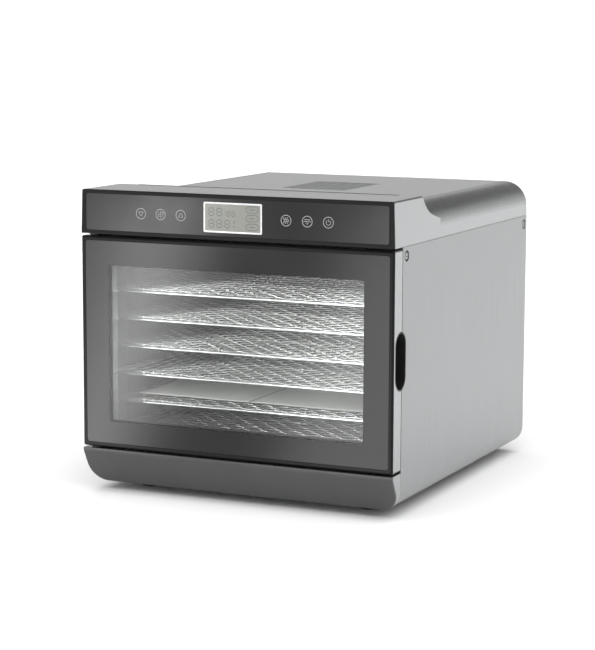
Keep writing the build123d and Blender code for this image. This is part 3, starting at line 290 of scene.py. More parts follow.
def moulded_plastic(tree, colour, roughness, grain=0.8, depth=0.2, ior=1.53):
    """Injection-moulded plastic: a fine spark-eroded grain from the tool, and slight gloss changes."""
    texture = soft_pattern(tree, grain, 2.0)
    cloud = soft_pattern(tree, 40.0, 1.0)
    gloss = (roughness - 0.03, roughness + 0.03)
    show_finish(tree, tone(colour), 1.12, cloud, gloss, {"IOR": ior}, relief=(texture, depth, 0.05 * MM))


def plated_metal(tree, colour, roughness, cloud_size=6.0, shade=0.9):
    """Plated, cast or drawn bare metal: bright, with faint clouding left by the bath or the die."""
    cloud = soft_pattern(tree, cloud_size, 3.0)
    show_finish(tree, tone(colour), shade, cloud, (roughness - 0.03, roughness + 0.08), {"Metallic": 1.0})


def door_pane(tree):
    """Clear tempered float glass: it lets light straight through and mirrors more at a slant."""
    clear = add_node(tree, "ShaderNodeBsdfTransparent", {"Color": rgba(srgb("#FAFBFA"))})
    mirror = add_node(
        tree,
        "ShaderNodeBsdfPrincipled",
        {"Base Color": (1.0, 1.0, 1.0, 1.0), "Metallic": 1.0, "Roughness": 0.04},
    )
    # Schlick's rule for glass, a little under the 4% that two clean faces would give straight on
    straight_on, at_a_slant, sharpness = 0.024, 0.96, 5.0
    facing = add_node(tree, "ShaderNodeLayerWeight", {"Blend": 0.5})
    steep = add_node(tree, "ShaderNodeMath", {0: facing.outputs["Facing"], 1: sharpness}, operation="POWER")
    slant = add_node(
        tree,
        "ShaderNodeMath",
        {0: steep.outputs[0], 1: at_a_slant, 2: straight_on},
        operation="MULTIPLY_ADD",
    )
    pane = add_node(
        tree, "ShaderNodeMixShader", {0: slant.outputs[0], 1: clear.outputs[0], 2: mirror.outputs[0]}
    )
    show(tree, pane)


def printed_black(tree, colour):
    """Black enamel fired on glass, or gloss-black acrylic: deep black under a mirror-smooth skin."""
    show_finish(tree, tone(colour), 1.5, soft_pattern(tree, 55.0, 3.0), (0.05, 0.11), {"IOR": 1.42})


def display_cell(tree, colour):
    """Reflective liquid-crystal cell: a grey-green polariser, faintly uneven, under gloss glass."""
    glass = {"Coat Weight": 0.8, "Coat Roughness": 0.06}
    show_finish(tree, tone(colour), 0.93, soft_pattern(tree, 14.0, 2.0), 0.45, glass)


def circuit_laminate(tree):
    """Solder-masked glass-epoxy board: green gloss with paler copper tracks under it."""
    tracks = add_node(
        tree,
        "ShaderNodeTexBrick",
        {
            "Vector": pattern_place(tree, rotation=(math.pi / 2, 0, 0)),
            "Color1": rgba(srgb("#1E5B3A")),
            "Color2": rgba(srgb("#1A4F33")),
            "Mortar": rgba(srgb("#3C8557")),
            "Scale": 1.0,
            "Brick Width": 9 * MM,
            "Row Height": 3 * MM,
            "Mortar Size": 0.35 * MM,
        },
    )
    board = {"Base Color": tracks.outputs["Color"], "Roughness": 0.3, "IOR": 1.55}
    show(tree, add_node(tree, "ShaderNodeBsdfPrincipled", board))


def stacked_laminations(tree):
    """Punched electrical steel pressed into a stack: fine dark seams every 0.5 mm, drawn 1 mm apart."""
    bands = {"Vector": pattern_place(tree), "Scale": BAND_STEP / MM, "Distortion": 0.0}
    seams = add_node(tree, "ShaderNodeTexWave", bands, bands_direction="Y").outputs["Fac"]
    show_finish(tree, srgb("#6E7073"), 0.55, seams, 0.42, {"Metallic": 1.0}, spread=(0, 1))


def wound_copper(tree):
    """Enamelled copper wire wound side by side: 0.6 mm turns as glossy brown bands."""
    bands = {"Vector": pattern_place(tree), "Scale": BAND_STEP / (0.6 * MM), "Distortion": 0.4}
    turns = add_node(tree, "ShaderNodeTexWave", bands, bands_direction="X").outputs["Fac"]
    round_wire = (turns, 0.6, 0.2 * MM)
    show_finish(
        tree, srgb("#9A5A2C"), 0.6, turns, 0.28, {"Metallic": 0.8}, spread=(0, 1), relief=round_wire
    )


def silicone_mesh(tree, colour):
    """White silicone-coated mesh sheet: a fine open grid, drawn as dimples 2.6 mm apart."""
    place = pattern_place(tree, (1 / (2.6 * MM),) * 3)
    holes = add_node(tree, "ShaderNodeTexVoronoi", {"Vector": place, "Scale": 1.0, "Randomness": 0.0})
    distance = holes.outputs["Distance"]
    dimples = (distance, 0.5, 0.3 * MM)
    show_finish(tree, tone(colour), 0.72, distance, 0.55, spread=(0.4, 0.15), relief=dimples)


def heater_sheath(tree):
    """Incoloy heater tube: dull grey oxide with brown heat tint in patches."""
    oxide = soft_pattern(tree, 18.0, 4.0)
    show_finish(tree, srgb("#5A5854"), srgb("#6B5645"), oxide, 0.48, {"Metallic": 1.0})


# One for each of the record's material slots: its function, its name, then colour, roughness and so on
FINISHES = {
    "silver_shell": (painted_sheet, "silver_painted_steel", "cap", 0.24),
    "brushed_steel": (brushed_sheet, "brushed_stainless_body", "steel", 0.36, "Z", 0.5, 0.1, 0.95),
    "rear_steel": (brushed_sheet, "galvanised_rear_sheet", "#A9ACAE", 0.45, "X", 1.2),
    # The liner's colour carries painted shade of the cavity
    "liner_steel": (brushed_sheet, "brushed_stainless_liner", "liner", 0.5, "Y", 0.9),
    "galvanised_steel": (plated_metal, "galvanised_steel_sheet", "#9C9FA2", 0.42, 9.0, 0.82),
    "dark_grille": (painted_sheet, "grey_painted_grille", "#C8C9CA", 0.4),
    # Zinc plate made much darker than plated steel is, to paint the shade at the back of the cavity
    "baffle_painted_shade": (plated_metal, "dark_zinc_plated_baffle", "#4C4D4E", 0.5, 20.0),
    "black_gloss": (moulded_plastic, "gloss_black_abs", "#080809", 0.34, 0.8, 0.05, 1.28),
    "fascia_black": (printed_black, "back_printed_acrylic_black", "#070708"),
    "black_plastic": (moulded_plastic, "moulded_black_pp", "#111112", 0.45),
    "chin_black": (moulded_plastic, "satin_black_abs", "#3D3D3E", 0.38),
    "black_print": (moulded_plastic, "black_polycarbonate", "#0D0D0E", 0.4),
    "display_silver": (plated_metal, "vacuum_plated_bezel", "#C6C7C8", 0.22, 8.0),
    "display_glass": (display_cell, "liquid_crystal_cell", "lcd"),
    "contact_foam": (moulded_plastic, "conductive_grey_foam", "#4A4A4C", 0.8, 1.5, 0.6),
    "circuit_board": (circuit_laminate, "solder_masked_epoxy_board"),
    "door_glass": (door_pane, "clear_tempered_glass"),
    "tray_chrome": (plated_metal, "chrome_plated_wire", "chrome", 0.17, 5.0),
    "mesh_sheet_white": (silicone_mesh, "white_silicone_mesh", "sheet_white"),
    "heater_sheath": (heater_sheath, "oxidised_heater_tube"),
    "probe_steel": (plated_metal, "drawn_stainless_tube", "#B8BABC", 0.25),
    "white_nylon": (moulded_plastic, "natural_white_nylon", "#E2E0D8", 0.5),
    "stator_steel": (stacked_laminations, "punched_electrical_steel"),
    "copper_winding": (wound_copper, "enamelled_copper_winding"),
    "bearing_bronze": (plated_metal, "sintered_bronze", "#9A6B3C", 0.45, 1.5, 0.7),
    "foot_rubber": (moulded_plastic, "black_nitrile_rubber", "#0E0E0E", 0.75, 1.2, 0.4),
    "zinc_screw": (plated_metal, "zinc_plated_steel", "#BFC1C2", 0.3, 3.0, 0.8),
    "side_screw_steel": (plated_metal, "stainless_screw_steel", "#A8AAAC", 0.25, 3.0),
    "magnet_ferrite": (moulded_plastic, "sintered_ferrite", "#242325", 0.6, 0.6, 0.4),
    "door_silicone": (moulded_plastic, "grey_silicone_seal", "#3B3B3D", 0.6, 2.0),
    "fan_aluminium": (plated_metal, "pressed_aluminium_sheet", "#B9BBBD", 0.35, 12.0, 0.85),
}


def finished(draw, name, *settings):
    """A new material with its nodes drawn by one of the functions above."""
    material, tree = new_material(name)
    draw(tree, *settings)
    return material


def finish_for(slot):
    """The finish of a material slot, made the first time that it is asked for."""
    name = f"finish_{slot}"
    if name not in bpy.context.scene:
        bpy.context.scene[name] = finished(*FINISHES[slot]).name
    return bpy.data.materials[bpy.context.scene[name]]


# --- Shapes shared by the pieces --------------------------------------------------


def rounded_loop(bm, low, high, radius, segments, y):
    """A closed loop of edges round an upright rectangle with round corners, at depth y."""
    (left, bottom), (right, top) = low, high
    places = ((left, bottom), (right, bottom), (right, top), (left, top))
    corners = [bm.verts.new((x, y, z)) for x, z in places]
    bm.faces.new(corners)
    bmesh.ops.bevel(
        bm,
        geom=corners,
        offset=radius,
        offset_type="OFFSET",
        affect="VERTICES",
        segments=segments,
        profile=0.5,
        material=-1,
    )
    face = max(bm.faces, key=lambda f: f.calc_area())
    edges = list(face.edges)
    bmesh.ops.delete(bm, geom=[face], context="FACES_ONLY")
    return edges


def verts_of(geometry):
    """The vertices in what an extrusion gives back."""
    return [part for part in geometry if isinstance(part, bmesh.types.BMVert)]


def add_block(bm, size, middle):
    """A plain block about a point; gives its vertices."""
    verts = bmesh.ops.create_cube(bm, size=1.0)["verts"]
    bmesh.ops.scale(bm, vec=size, verts=verts)
    bmesh.ops.translate(bm, vec=middle, verts=verts)
    return verts


def flat_bar(bm, start, end, width):
    """A flat straight stroke between two points of the XZ plane."""
    start, end = Vector((start[0], 0, start[1])), Vector((end[0], 0, end[1]))
    side = (end - start).cross(Vector((0, 1, 0))).normalized() * width / 2
    verts = [bm.verts.new(start - side), bm.verts.new(start + side)]
    edge = bm.edges.new(verts)
    grown = bmesh.ops.extrude_edge_only(bm, edges=[edge])["geom"]
    bmesh.ops.translate(bm, verts=verts_of(grown), vec=end - start)


def flat_arc(bm, centre, radius, width, start, sweep, steps=20):
    """A flat curved stroke in the XZ plane, from start round by sweep, in degrees."""
    middle = Vector((centre[0], 0, centre[1]))
    turn = Matrix.Rotation(math.radians(-start), 3, "Y")
    places = [Vector((radius + reach, 0, 0)) for reach in (-width / 2, width / 2)]
    verts = [bm.verts.new(middle + turn @ place) for place in places]
    edge = bm.edges.new(verts)
    bmesh.ops.spin(
        bm,
        geom=[*verts, edge],
        cent=middle,
        axis=(0, -1, 0),
        angle=math.radians(sweep),
        steps=steps,
        use_merge=abs(sweep) >= 360,
    )


def thicken(bm, thickness):
    """Gives flat strokes their thickness, with every face pointing out."""
    bmesh.ops.recalc_face_normals(bm, faces=bm.faces)
    bmesh.ops.solidify(bm, geom=bm.faces[:], thickness=thickness)
    bmesh.ops.recalc_face_normals(bm, faces=bm.faces)


def copy_into(target, mesh, matrix):
    """Adds a mesh to a bmesh, with its points moved by matrix."""
    before = len(target.verts)
    target.from_mesh(mesh)
    target.verts.ensure_lookup_table()
    bmesh.ops.transform(target, matrix=matrix, verts=target.verts[before:])


def mesh_of(bm, name):
    """A scratch mesh of a bmesh."""
    mesh = bpy.data.meshes.new(name)
    bm.to_mesh(mesh)
    bm.free()
    return mesh


# --- Woven trays --------------------------------------------------------------------


def crimped_wire(run, crossings, wire, sides, phase):
    """One woven wire along X, bent over and under at each crossing, with rounded waves."""
    bm = bmesh.new()
    bends = BENDS * crossings
    lift = wire / 2 * (1 if phase else -1)
    upright = Matrix.Translation((-run / 2, 0, lift)) @ Matrix.Rotation(math.pi / 2, 4, "Y")
    made = bmesh.ops.create_circle(bm, cap_ends=True, segments=sides, radius=wire / 2, matrix=upright)
    ring = made["verts"]
    edges = list({edge for vert in ring for edge in vert.link_edges})
    level = lift
    for bend in range(1, bends + 1):
        grown = bmesh.ops.extrude_edge_only(bm, edges=edges)["geom"]
        moved = verts_of(grown)
        new_level = lift * math.cos(math.pi * bend / BENDS)
        bmesh.ops.translate(bm, verts=moved, vec=(run / bends, 0, new_level - level))
        level = new_level
        ends = set(moved)
        edges = [g for g in grown if isinstance(g, bmesh.types.BMEdge) and set(g.verts) <= ends]
    bmesh.ops.holes_fill(bm, edges=edges, sides=sides)
    bmesh.ops.recalc_face_normals(bm, faces=bm.faces)
    for face in bm.faces:
        face.smooth = len(face.verts) == 4
    return mesh_of(bm, "crimped_wire")


def rim_loop(low, high, wire, corner):
    """The tray's rim: thick wire bent round a rectangle with round corners, about the origin."""
    curve = bpy.data.curves.new("rim_path", "CURVE")
    curve.dimensions = "3D"
    curve.bevel_depth = wire / 2
    curve.bevel_resolution = 3
    inset, steps = wire / 2, 6
    x, y = (high.x - low.x) / 2 - inset, (high.y - low.y) / 2 - inset
    bend = []
    for turn, (cx, cy) in enumerate(((x, y), (-x, y), (-x, -y), (x, -y))):
        centre = Vector((cx - math.copysign(corner, cx), cy - math.copysign(corner, cy), 0))
        for part in range(steps + 1):
            angle = math.pi / 2 * (turn + part / steps)
            bend.append(centre + corner * Vector((math.cos(angle), math.sin(angle), 0)))
    spline = curve.splines.new("POLY")
    spline.points.add(len(bend) - 1)
    for point, place in zip(spline.points, bend):
        point.co = (*place, 1)
    spline.use_cyclic_u = True
    path = bpy.data.objects.new("rim_path", curve)
    mesh = bpy.data.meshes.new_from_object(path)
    bpy.data.objects.remove(path)
    return mesh


def rib_wire(run, wire):
    """A straight rib along X."""
    bm = bmesh.new()
    along = Matrix.Rotation(math.pi / 2, 4, "Y")
    bmesh.ops.create_cone(
        bm, cap_ends=True, segments=12, radius1=wire / 2, radius2=wire / 2, depth=run, matrix=along
    )
    for face in bm.faces:
        face.smooth = len(face.verts) == 4
    return mesh_of(bm, "rib_wire")


def tray_mesh(weave):
    """A whole tray about its rim's middle: rim, two ribs and the woven mesh that lies on them."""
    low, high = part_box(TRAYS[0])
    bm = bmesh.new()
    copy_into(bm, rim_loop(low, high, weave.rim, weave.corner), Matrix.Identity(4))
    for face in bm.faces:
        face.smooth = True
    width, depth = high.x - low.x - weave.rim, high.y - low.y - weave.rim
    rib = rib_wire(width, weave.rim)
    for side in (-1, 1):
        copy_into(bm, rib, Matrix.Translation((0, side * depth / 6, 0)))
    columns, rows = round(width / weave.pitch), round(depth / weave.pitch)
    mesh_z = weave.rim / 2 + weave.wire
    wires = [
        [crimped_wire(run, count, weave.wire, weave.sides, phase) for phase in (0, 1)]
        for run, count in ((width, columns), (depth, rows))
    ]
    for row in range(rows + 1):
        place = Matrix.Translation((0, row * depth / rows - depth / 2, mesh_z))
        copy_into(bm, wires[0][row % 2], place)
    quarter = Matrix.Rotation(math.pi / 2, 4, "Z")
    for column in range(columns + 1):
        place = Matrix.Translation((column * width / columns - width / 2, 0, mesh_z))
        copy_into(bm, wires[1][(column + 1) % 2], place @ quarter)
    return bm


# --- Operators: one for each kind of piece, and one for the stage ---------------------


class OBJECT_OT_dehydrator_finishes(bpy.types.Operator):
    """Gives each part of the frame its finish"""

    bl_idname = "object.dehydrator_finishes"
    bl_label = "Finishes"

    def execute(self, context):
        for name, node in frame["nodes"].items():
            for index, material in enumerate(node.data.materials):
                # The fan baffle gets a darker finish of its own that paints the cavity's shade
                slot = "baffle_painted_shade" if name == "fan_baffle" else material.name.split(".")[0]
                node.data.materials[index] = finish_for(slot)
        return {"FINISHED"}


class OBJECT_OT_dehydrator_trays(bpy.types.Operator):
    """Builds the six woven wire trays"""

    bl_idname = "object.dehydrator_trays"
    bl_label = "Woven trays"

    def execute(self, context):
        weave = context.scene.dehydrator_weave
        chrome = finish_for("tray_chrome")
        shape = mesh_of(tray_mesh(weave), "tray_shape")
        for name in TRAYS:
            low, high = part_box(name)
            level = low.z + weave.rim / 2
            bm = bmesh.new()
            middle = Vector(((low.x + high.x) / 2, (low.y + high.y) / 2, level))
            copy_into(bm, shape, Matrix.Translation(middle))
            tray = place_mesh(f"woven_{name}", bm, chrome, name)
            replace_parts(tray, name)
        return {"FINISHED"}


class OBJECT_OT_dehydrator_sheets(bpy.types.Operator):
    """Lays the two silicone mesh sheets on the fifth tray"""

    bl_idname = "object.dehydrator_sheets"
    bl_label = "Drying sheets"

    def execute(self, context):
        white = finish_for("mesh_sheet_white")
        low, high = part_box("mesh_sheets")
        gap = 2 * MM
        width = (high.x - low.x - gap) / 2
        thickness = (high.z - low.z) * 0.6  # the rest is left for the sheet's slight waves
        lift, wave_x, wave_y = 0.25 * MM, 17 * MM, 29 * MM
        for side, name in ((-1, "drying_sheet_left"), (1, "drying_sheet_right")):
            centre = Vector(((low.x + high.x + side * (width + gap)) / 2, (low.y + high.y) / 2, low.z))
            bm = bmesh.new()
            bmesh.ops.create_grid(bm, x_segments=24, y_segments=44, size=0.5)
            bmesh.ops.scale(bm, vec=(width, high.y - low.y, 1), verts=bm.verts)
            for vert in bm.verts:
                across = math.sin(vert.co.x / wave_x + side)
                vert.co.z += lift * (1 + across * math.cos(vert.co.y / wave_y))
            bmesh.ops.translate(bm, vec=centre, verts=bm.verts)
            for face in bm.faces:
                face.smooth = True
            sheet = place_mesh(name, bm, white, TRAYS[4])
            solidify = sheet.modifiers.new("thickness", "SOLIDIFY")
            solidify.thickness = thickness
            solidify.offset = 1.0
            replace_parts(sheet, "mesh_sheets")
        return {"FINISHED"}


class OBJECT_OT_dehydrator_painted_crease_shade(bpy.types.Operator):
    """Paints the shade in the cap's grooves, and the dark reflection along the head's rear edge, as dark grey
    strips
    """

    bl_idname = "object.dehydrator_seams"
    bl_label = "Cap seams"

    def execute(self, context):
        sizes = context.scene.dehydrator_fittings
        # Dark grey strips that paint the shade in the cap's grooves
        crease_shade = finished(moulded_plastic, "dark_grey_sealing_bead", "#3A3A3B", 0.6)
        low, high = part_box("top_cap")
        reach, width = sizes.seam_x, sizes.seam_width
        front, rear = low.y + sizes.seam_setback, high.y - sizes.seam_rear
        top = high.z - sizes.seam_drop
        free, proud = 0.1 * MM, 0.25 * MM
        runs = [((-reach, front), (reach, front + width))]
        runs += [((reach, front), (reach + width, rear)), ((-reach - width, front), (-reach, rear))]
        bm = bmesh.new()
        for (x0, y0), (x1, y1) in runs:
            size = (x1 - x0 - free, y1 - y0 - free, sizes.shade_strip_depth)
            add_block(bm, size, ((x0 + x1) / 2, (y0 + y1) / 2, top - sizes.shade_strip_depth / 2))
        # A dark strip just proud of the head's top along its rear edge: a painted dark reflection where the
        # edge turns away
        middle = (0, low.y + sizes.crease_setback, high.z + proud - sizes.shade_strip_depth / 2)
        add_block(bm, (2 * (reach + width), width, sizes.shade_strip_depth), middle)
        place_mesh("cap_seam_beads", bm, crease_shade, "cabinet")
        return {"FINISHED"}


def screw_head(radius, height, recess, rim):
    """A pan head on the XY plane with a cross recess, as a scratch mesh; rim is its edge's fillet."""
    bm = bmesh.new()
    soft = rim * 0.3
    crown = height * CROWN
    profile = [(radius, 0.0), (radius, height - rim), (radius - soft, height - soft), (radius - rim, height)]
    profile += [(radius * 0.45, height * 1.04), (0.0, crown)]
    verts = [bm.verts.new((x, 0, z)) for x, z in profile]
    edges = [bm.edges.new(pair) for pair in zip(verts, verts[1:])]
    bmesh.ops.spin(
        bm, geom=[*verts, *edges], cent=(0, 0, 0), axis=(0, 0, 1), angle=math.tau, steps=28, use_merge=True
    )
    bmesh.ops.remove_doubles(bm, verts=bm.verts, dist=MERGE)
    bmesh.ops.holes_fill(bm, edges=[edge for edge in bm.edges if edge.is_boundary], sides=28)
    bmesh.ops.recalc_face_normals(bm, faces=bm.faces)
    for face in bm.faces:
        face.smooth = len(face.verts) <= 4
    head = bpy.data.objects.new("screw_head", mesh_of(bm, "screw_head"))
    cut = bmesh.new()
    for turn in (0, 1):
        arm = add_block(cut, (radius * 1.15, radius * 0.24, recess * 2), (0, 0, crown))
        quarter = Matrix.Rotation(turn * math.pi / 2, 3, "Z")
        bmesh.ops.rotate(cut, cent=(0, 0, 0), matrix=quarter, verts=arm)
    tool = bpy.data.objects.new("screw_recess", mesh_of(cut, "screw_recess"))
    for part in (head, tool):
        bpy.context.scene.collection.objects.link(part)
    modifier = head.modifiers.new("recess", "BOOLEAN")
    modifier.object = tool
    modifier.solver = "EXACT"
    modifier.use_self = True
    bpy.context.view_layer.update()
    mesh = bpy.data.meshes.new_from_object(head.evaluated_get(bpy.context.evaluated_depsgraph_get()))
    for part in (head, tool):
        bpy.data.objects.remove(part)
    return mesh


def islands(node):
    """The corner points of each separate solid in a CAD node's mesh."""
    bm = bmesh.new()
    bm.from_mesh(frame["nodes"][node].data)
    bmesh.ops.remove_doubles(bm, verts=bm.verts, dist=MERGE)
    left = set(bm.verts)
    found = []
    while left:
        queue = [left.pop()]
        group = []
        while queue:
            vert = queue.pop()
            group.append(vert.co.copy())
            near = {edge.other_vert(vert) for edge in vert.link_edges} & left
            left -= near
            queue.extend(near)
        found.append(sorted(group, key=tuple))
    bm.free()
    return sorted(found, key=lambda group: tuple(group[0]))


class OBJECT_OT_dehydrator_screws(bpy.types.Operator):
    """Puts cross-recess heads on the side, rear and foot screws, and paints shade round the side heads as
    dark discs in their dimples
    """

    bl_idname = "object.dehydrator_screws"
    bl_label = "Screw heads"

    def execute(self, context):
        low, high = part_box("side_screws")
        radius = (high.z - low.z) / 2
        sunk, shade_disc_depth, tallest = 0.95 * MM, 0.1 * MM, 2.4 * MM
        steel = finish_for("side_screw_steel")
        zinc = finish_for("zinc_screw")
        # Near-black discs round the side heads: painted shade of the dimples they sit in
        well_shade = finished(moulded_plastic, "blackened_screw_well", "#141414", 0.6)
        head = screw_head(radius * 0.7, 0.8 * MM, 0.4 * MM, 0.3 * MM)
        heads, well_shade_discs = bmesh.new(), bmesh.new()
        for side in (-1, 1):
            for y in (low.y + radius, high.y - radius):
                face = Matrix.Translation((side * (high.x - sunk), y, (low.z + high.z) / 2))
                turn = face @ Matrix.Rotation(side * math.pi / 2, 4, "Y")
                copy_into(heads, head, turn)
                bmesh.ops.create_cone(
                    well_shade_discs,
                    cap_ends=True,
                    segments=28,
                    radius1=radius,
                    radius2=radius,
                    depth=shade_disc_depth,
                    matrix=turn,
                )
        side_heads = place_mesh("side_screw_heads", heads, steel, "cabinet")
        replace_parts(side_heads, "side_screws")
        place_mesh("side_screw_wells", well_shade_discs, well_shade, "cabinet")
        for node, turn, axis in (
            ("rear_screws", Matrix.Rotation(-math.pi / 2, 4, "X"), Vector((0, 1, 0))),
            ("foot_screws", Matrix.Rotation(math.pi, 4, "X"), Vector((0, 0, -1))),
        ):
            heads = bmesh.new()
            for corners in islands(node):
                reach = max(corner.dot(axis) for corner in corners)
                face = [corner for corner in corners if corner.dot(axis) > reach - PRINT_LIFT]
                centre = sum(face, Vector()) / len(face)
                width = max((corner - centre).length for corner in face)
                shank = [c for c in corners if (c - centre).cross(axis).length < width * 0.8]
                levels = (corner.dot(axis) for corner in shank)
                seat = max(levels, key=lambda level: -abs(level - (reach - tallest)))
                height = min(reach - seat, tallest)
                head = screw_head(width, height / CROWN, height * 0.55, height * 0.45)
                copy_into(heads, head, Matrix.Translation(centre - axis * height) @ turn)
            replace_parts(place_mesh(f"{node[:-1]}_heads", heads, zinc, "cabinet"), node)
        return {"FINISHED"}


class OBJECT_OT_dehydrator_border(bpy.types.Operator):
    """Prints the black border on the door's glass"""

    bl_idname = "object.dehydrator_border"
    bl_label = "Printed border"

    def execute(self, context):
        sizes = context.scene.dehydrator_print
        ink = finished(printed_black, "fired_black_enamel", "print_black")
        low, high = GLASS
        door_low, door_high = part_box("door_rim")
        y = low.y - PRINT_LIFT
        glass_corner, window_corner = 2.8 * MM, 1.0 * MM
        inner_low = (door_low.x + sizes.side_border, door_low.z + sizes.bottom_border)
        inner_high = (door_high.x - sizes.side_border, door_high.z - sizes.top_border)
        bm = bmesh.new()
        edges = rounded_loop(bm, (low.x, low.z), (high.x, high.z), glass_corner, 5, y)
        edges += rounded_loop(bm, inner_low, inner_high, window_corner, 5, y)
        bmesh.ops.bridge_loops(bm, edges=edges)
        bmesh.ops.recalc_face_normals(bm, faces=bm.faces)
        if sum(face.normal.y for face in bm.faces) > 0:
            bmesh.ops.reverse_faces(bm, faces=bm.faces)
        place_mesh("glass_border_print", bm, ink, "door")
        return {"FINISHED"}


def key_symbols(bm, sizes):
    """Draws the six touch keys' rings and symbols about each key's centre, in the XZ plane."""
    stroke = sizes.stroke
    fine = stroke * 0.8

    def triangle(x, way):
        tip, base, half = 2.6 * MM * way, -1.7 * MM * way, 2.6 * MM
        flat_bar(bm, (x, tip), (x - half, base), fine)
        flat_bar(bm, (x - half, base), (x + half, base), fine)
        flat_bar(bm, (x + half, base), (x, tip), fine)

    def waves(x):
        for shift in (-2.0 * MM, 0, 2.0 * MM):
            for level, side in ((-1.9 * MM, 90), (0, -90), (1.9 * MM, 90)):
                flat_arc(bm, (x + shift, level), 0.95 * MM, fine, side, 180, 8)

    def split_clock(x):
        flat_bar(bm, (x, -3.6 * MM), (x, 3.6 * MM), fine)
        for rise in (-1.6 * MM, 0, 1.6 * MM):
            flat_bar(bm, (x - 3.2 * MM, rise), (x - 1.2 * MM, rise), fine)
        flat_arc(bm, (x + 2.4 * MM, 1.5 * MM), 1.1 * MM, fine, 0, 360, 12)
        flat_bar(bm, (x + 2.4 * MM, -0.6 * MM), (x + 2.4 * MM, -2.8 * MM), fine)

    def split_fan(x):
        flat_bar(bm, (x - 4.2 * MM, 0), (x + 4.2 * MM, 0), fine)
        for shift in (-2.0 * MM, 0, 2.0 * MM):
            flat_arc(bm, (x + shift, 1.3 * MM), 0.8 * MM, fine, 0, 180, 8)
        flat_bar(bm, (x - 1.6 * MM, -1.5 * MM), (x + 1.6 * MM, -1.5 * MM), fine)
        flat_bar(bm, (x, -1.2 * MM), (x, -3.2 * MM), fine)

    def power(x):
        flat_arc(bm, (x, -0.2 * MM), 2.4 * MM, fine, 120, 300, 18)
        flat_bar(bm, (x, 0.6 * MM), (x, 3.2 * MM), fine)

    for distance in (sizes.key_3, sizes.key_2, sizes.key_1):
        for side in (-1, 1):
            flat_arc(bm, (side * distance, 0), sizes.ring, stroke, 0, 360, 32)
    triangle(-sizes.key_3, -1)
    split_clock(-sizes.key_2)
    triangle(-sizes.key_1, 1)
    waves(sizes.key_1)
    split_fan(sizes.key_2)
    power(sizes.key_3)


class OBJECT_OT_dehydrator_keys(bpy.types.Operator):
    """Prints the touch keys on the control fascia"""

    bl_idname = "object.dehydrator_keys"
    bl_label = "Touch keys"

    def execute(self, context):
        ink = finished(moulded_plastic, "screen_printed_white_ink", "key_print", 0.5, 1.0, 0.02)
        bm = bmesh.new()
        key_symbols(bm, context.scene.dehydrator_print)
        thicken(bm, PRINT_LIFT)
        low, high = FASCIA
        place = Matrix.Translation((0, low.y - PRINT_LIFT, (low.z + high.z) / 2))
        bmesh.ops.transform(bm, matrix=place, verts=bm.verts)
        place_mesh("touch_key_print", bm, ink, "cabinet")
        return {"FINISHED"}


def digit(bm, x, z, width, height, stroke, segments="abcdefg"):
    """A seven-segment digit with its lower left corner at x, z."""
    gap = stroke * 0.75
    middle = z + height / 2
    ends = {
        "a": ((x + gap, z + height), (x + width - gap, z + height)),
        "b": ((x + width, middle + gap), (x + width, z + height - gap)),
        "c": ((x + width, z + gap), (x + width, middle - gap)),
        "d": ((x + gap, z), (x + width - gap, z)),
        "e": ((x, z + gap), (x, middle - gap)),
        "f": ((x, middle + gap), (x, z + height - gap)),
        "g": ((x + gap, middle), (x + width - gap, middle)),
    }
    for segment in segments:
        flat_bar(bm, *ends[segment], stroke)


def key_outline(bm, x, z, width, height, stroke):
    """A long round-ended outline about x, z."""
    radius = height / 2
    reach = width / 2 - radius
    for side, start in ((1, -90), (-1, 90)):
        flat_arc(bm, (x + side * reach, z), radius, stroke, start, 180, 10)
    for side in (-1, 1):
        flat_bar(bm, (x - reach, z + side * radius), (x + reach, z + side * radius), stroke)


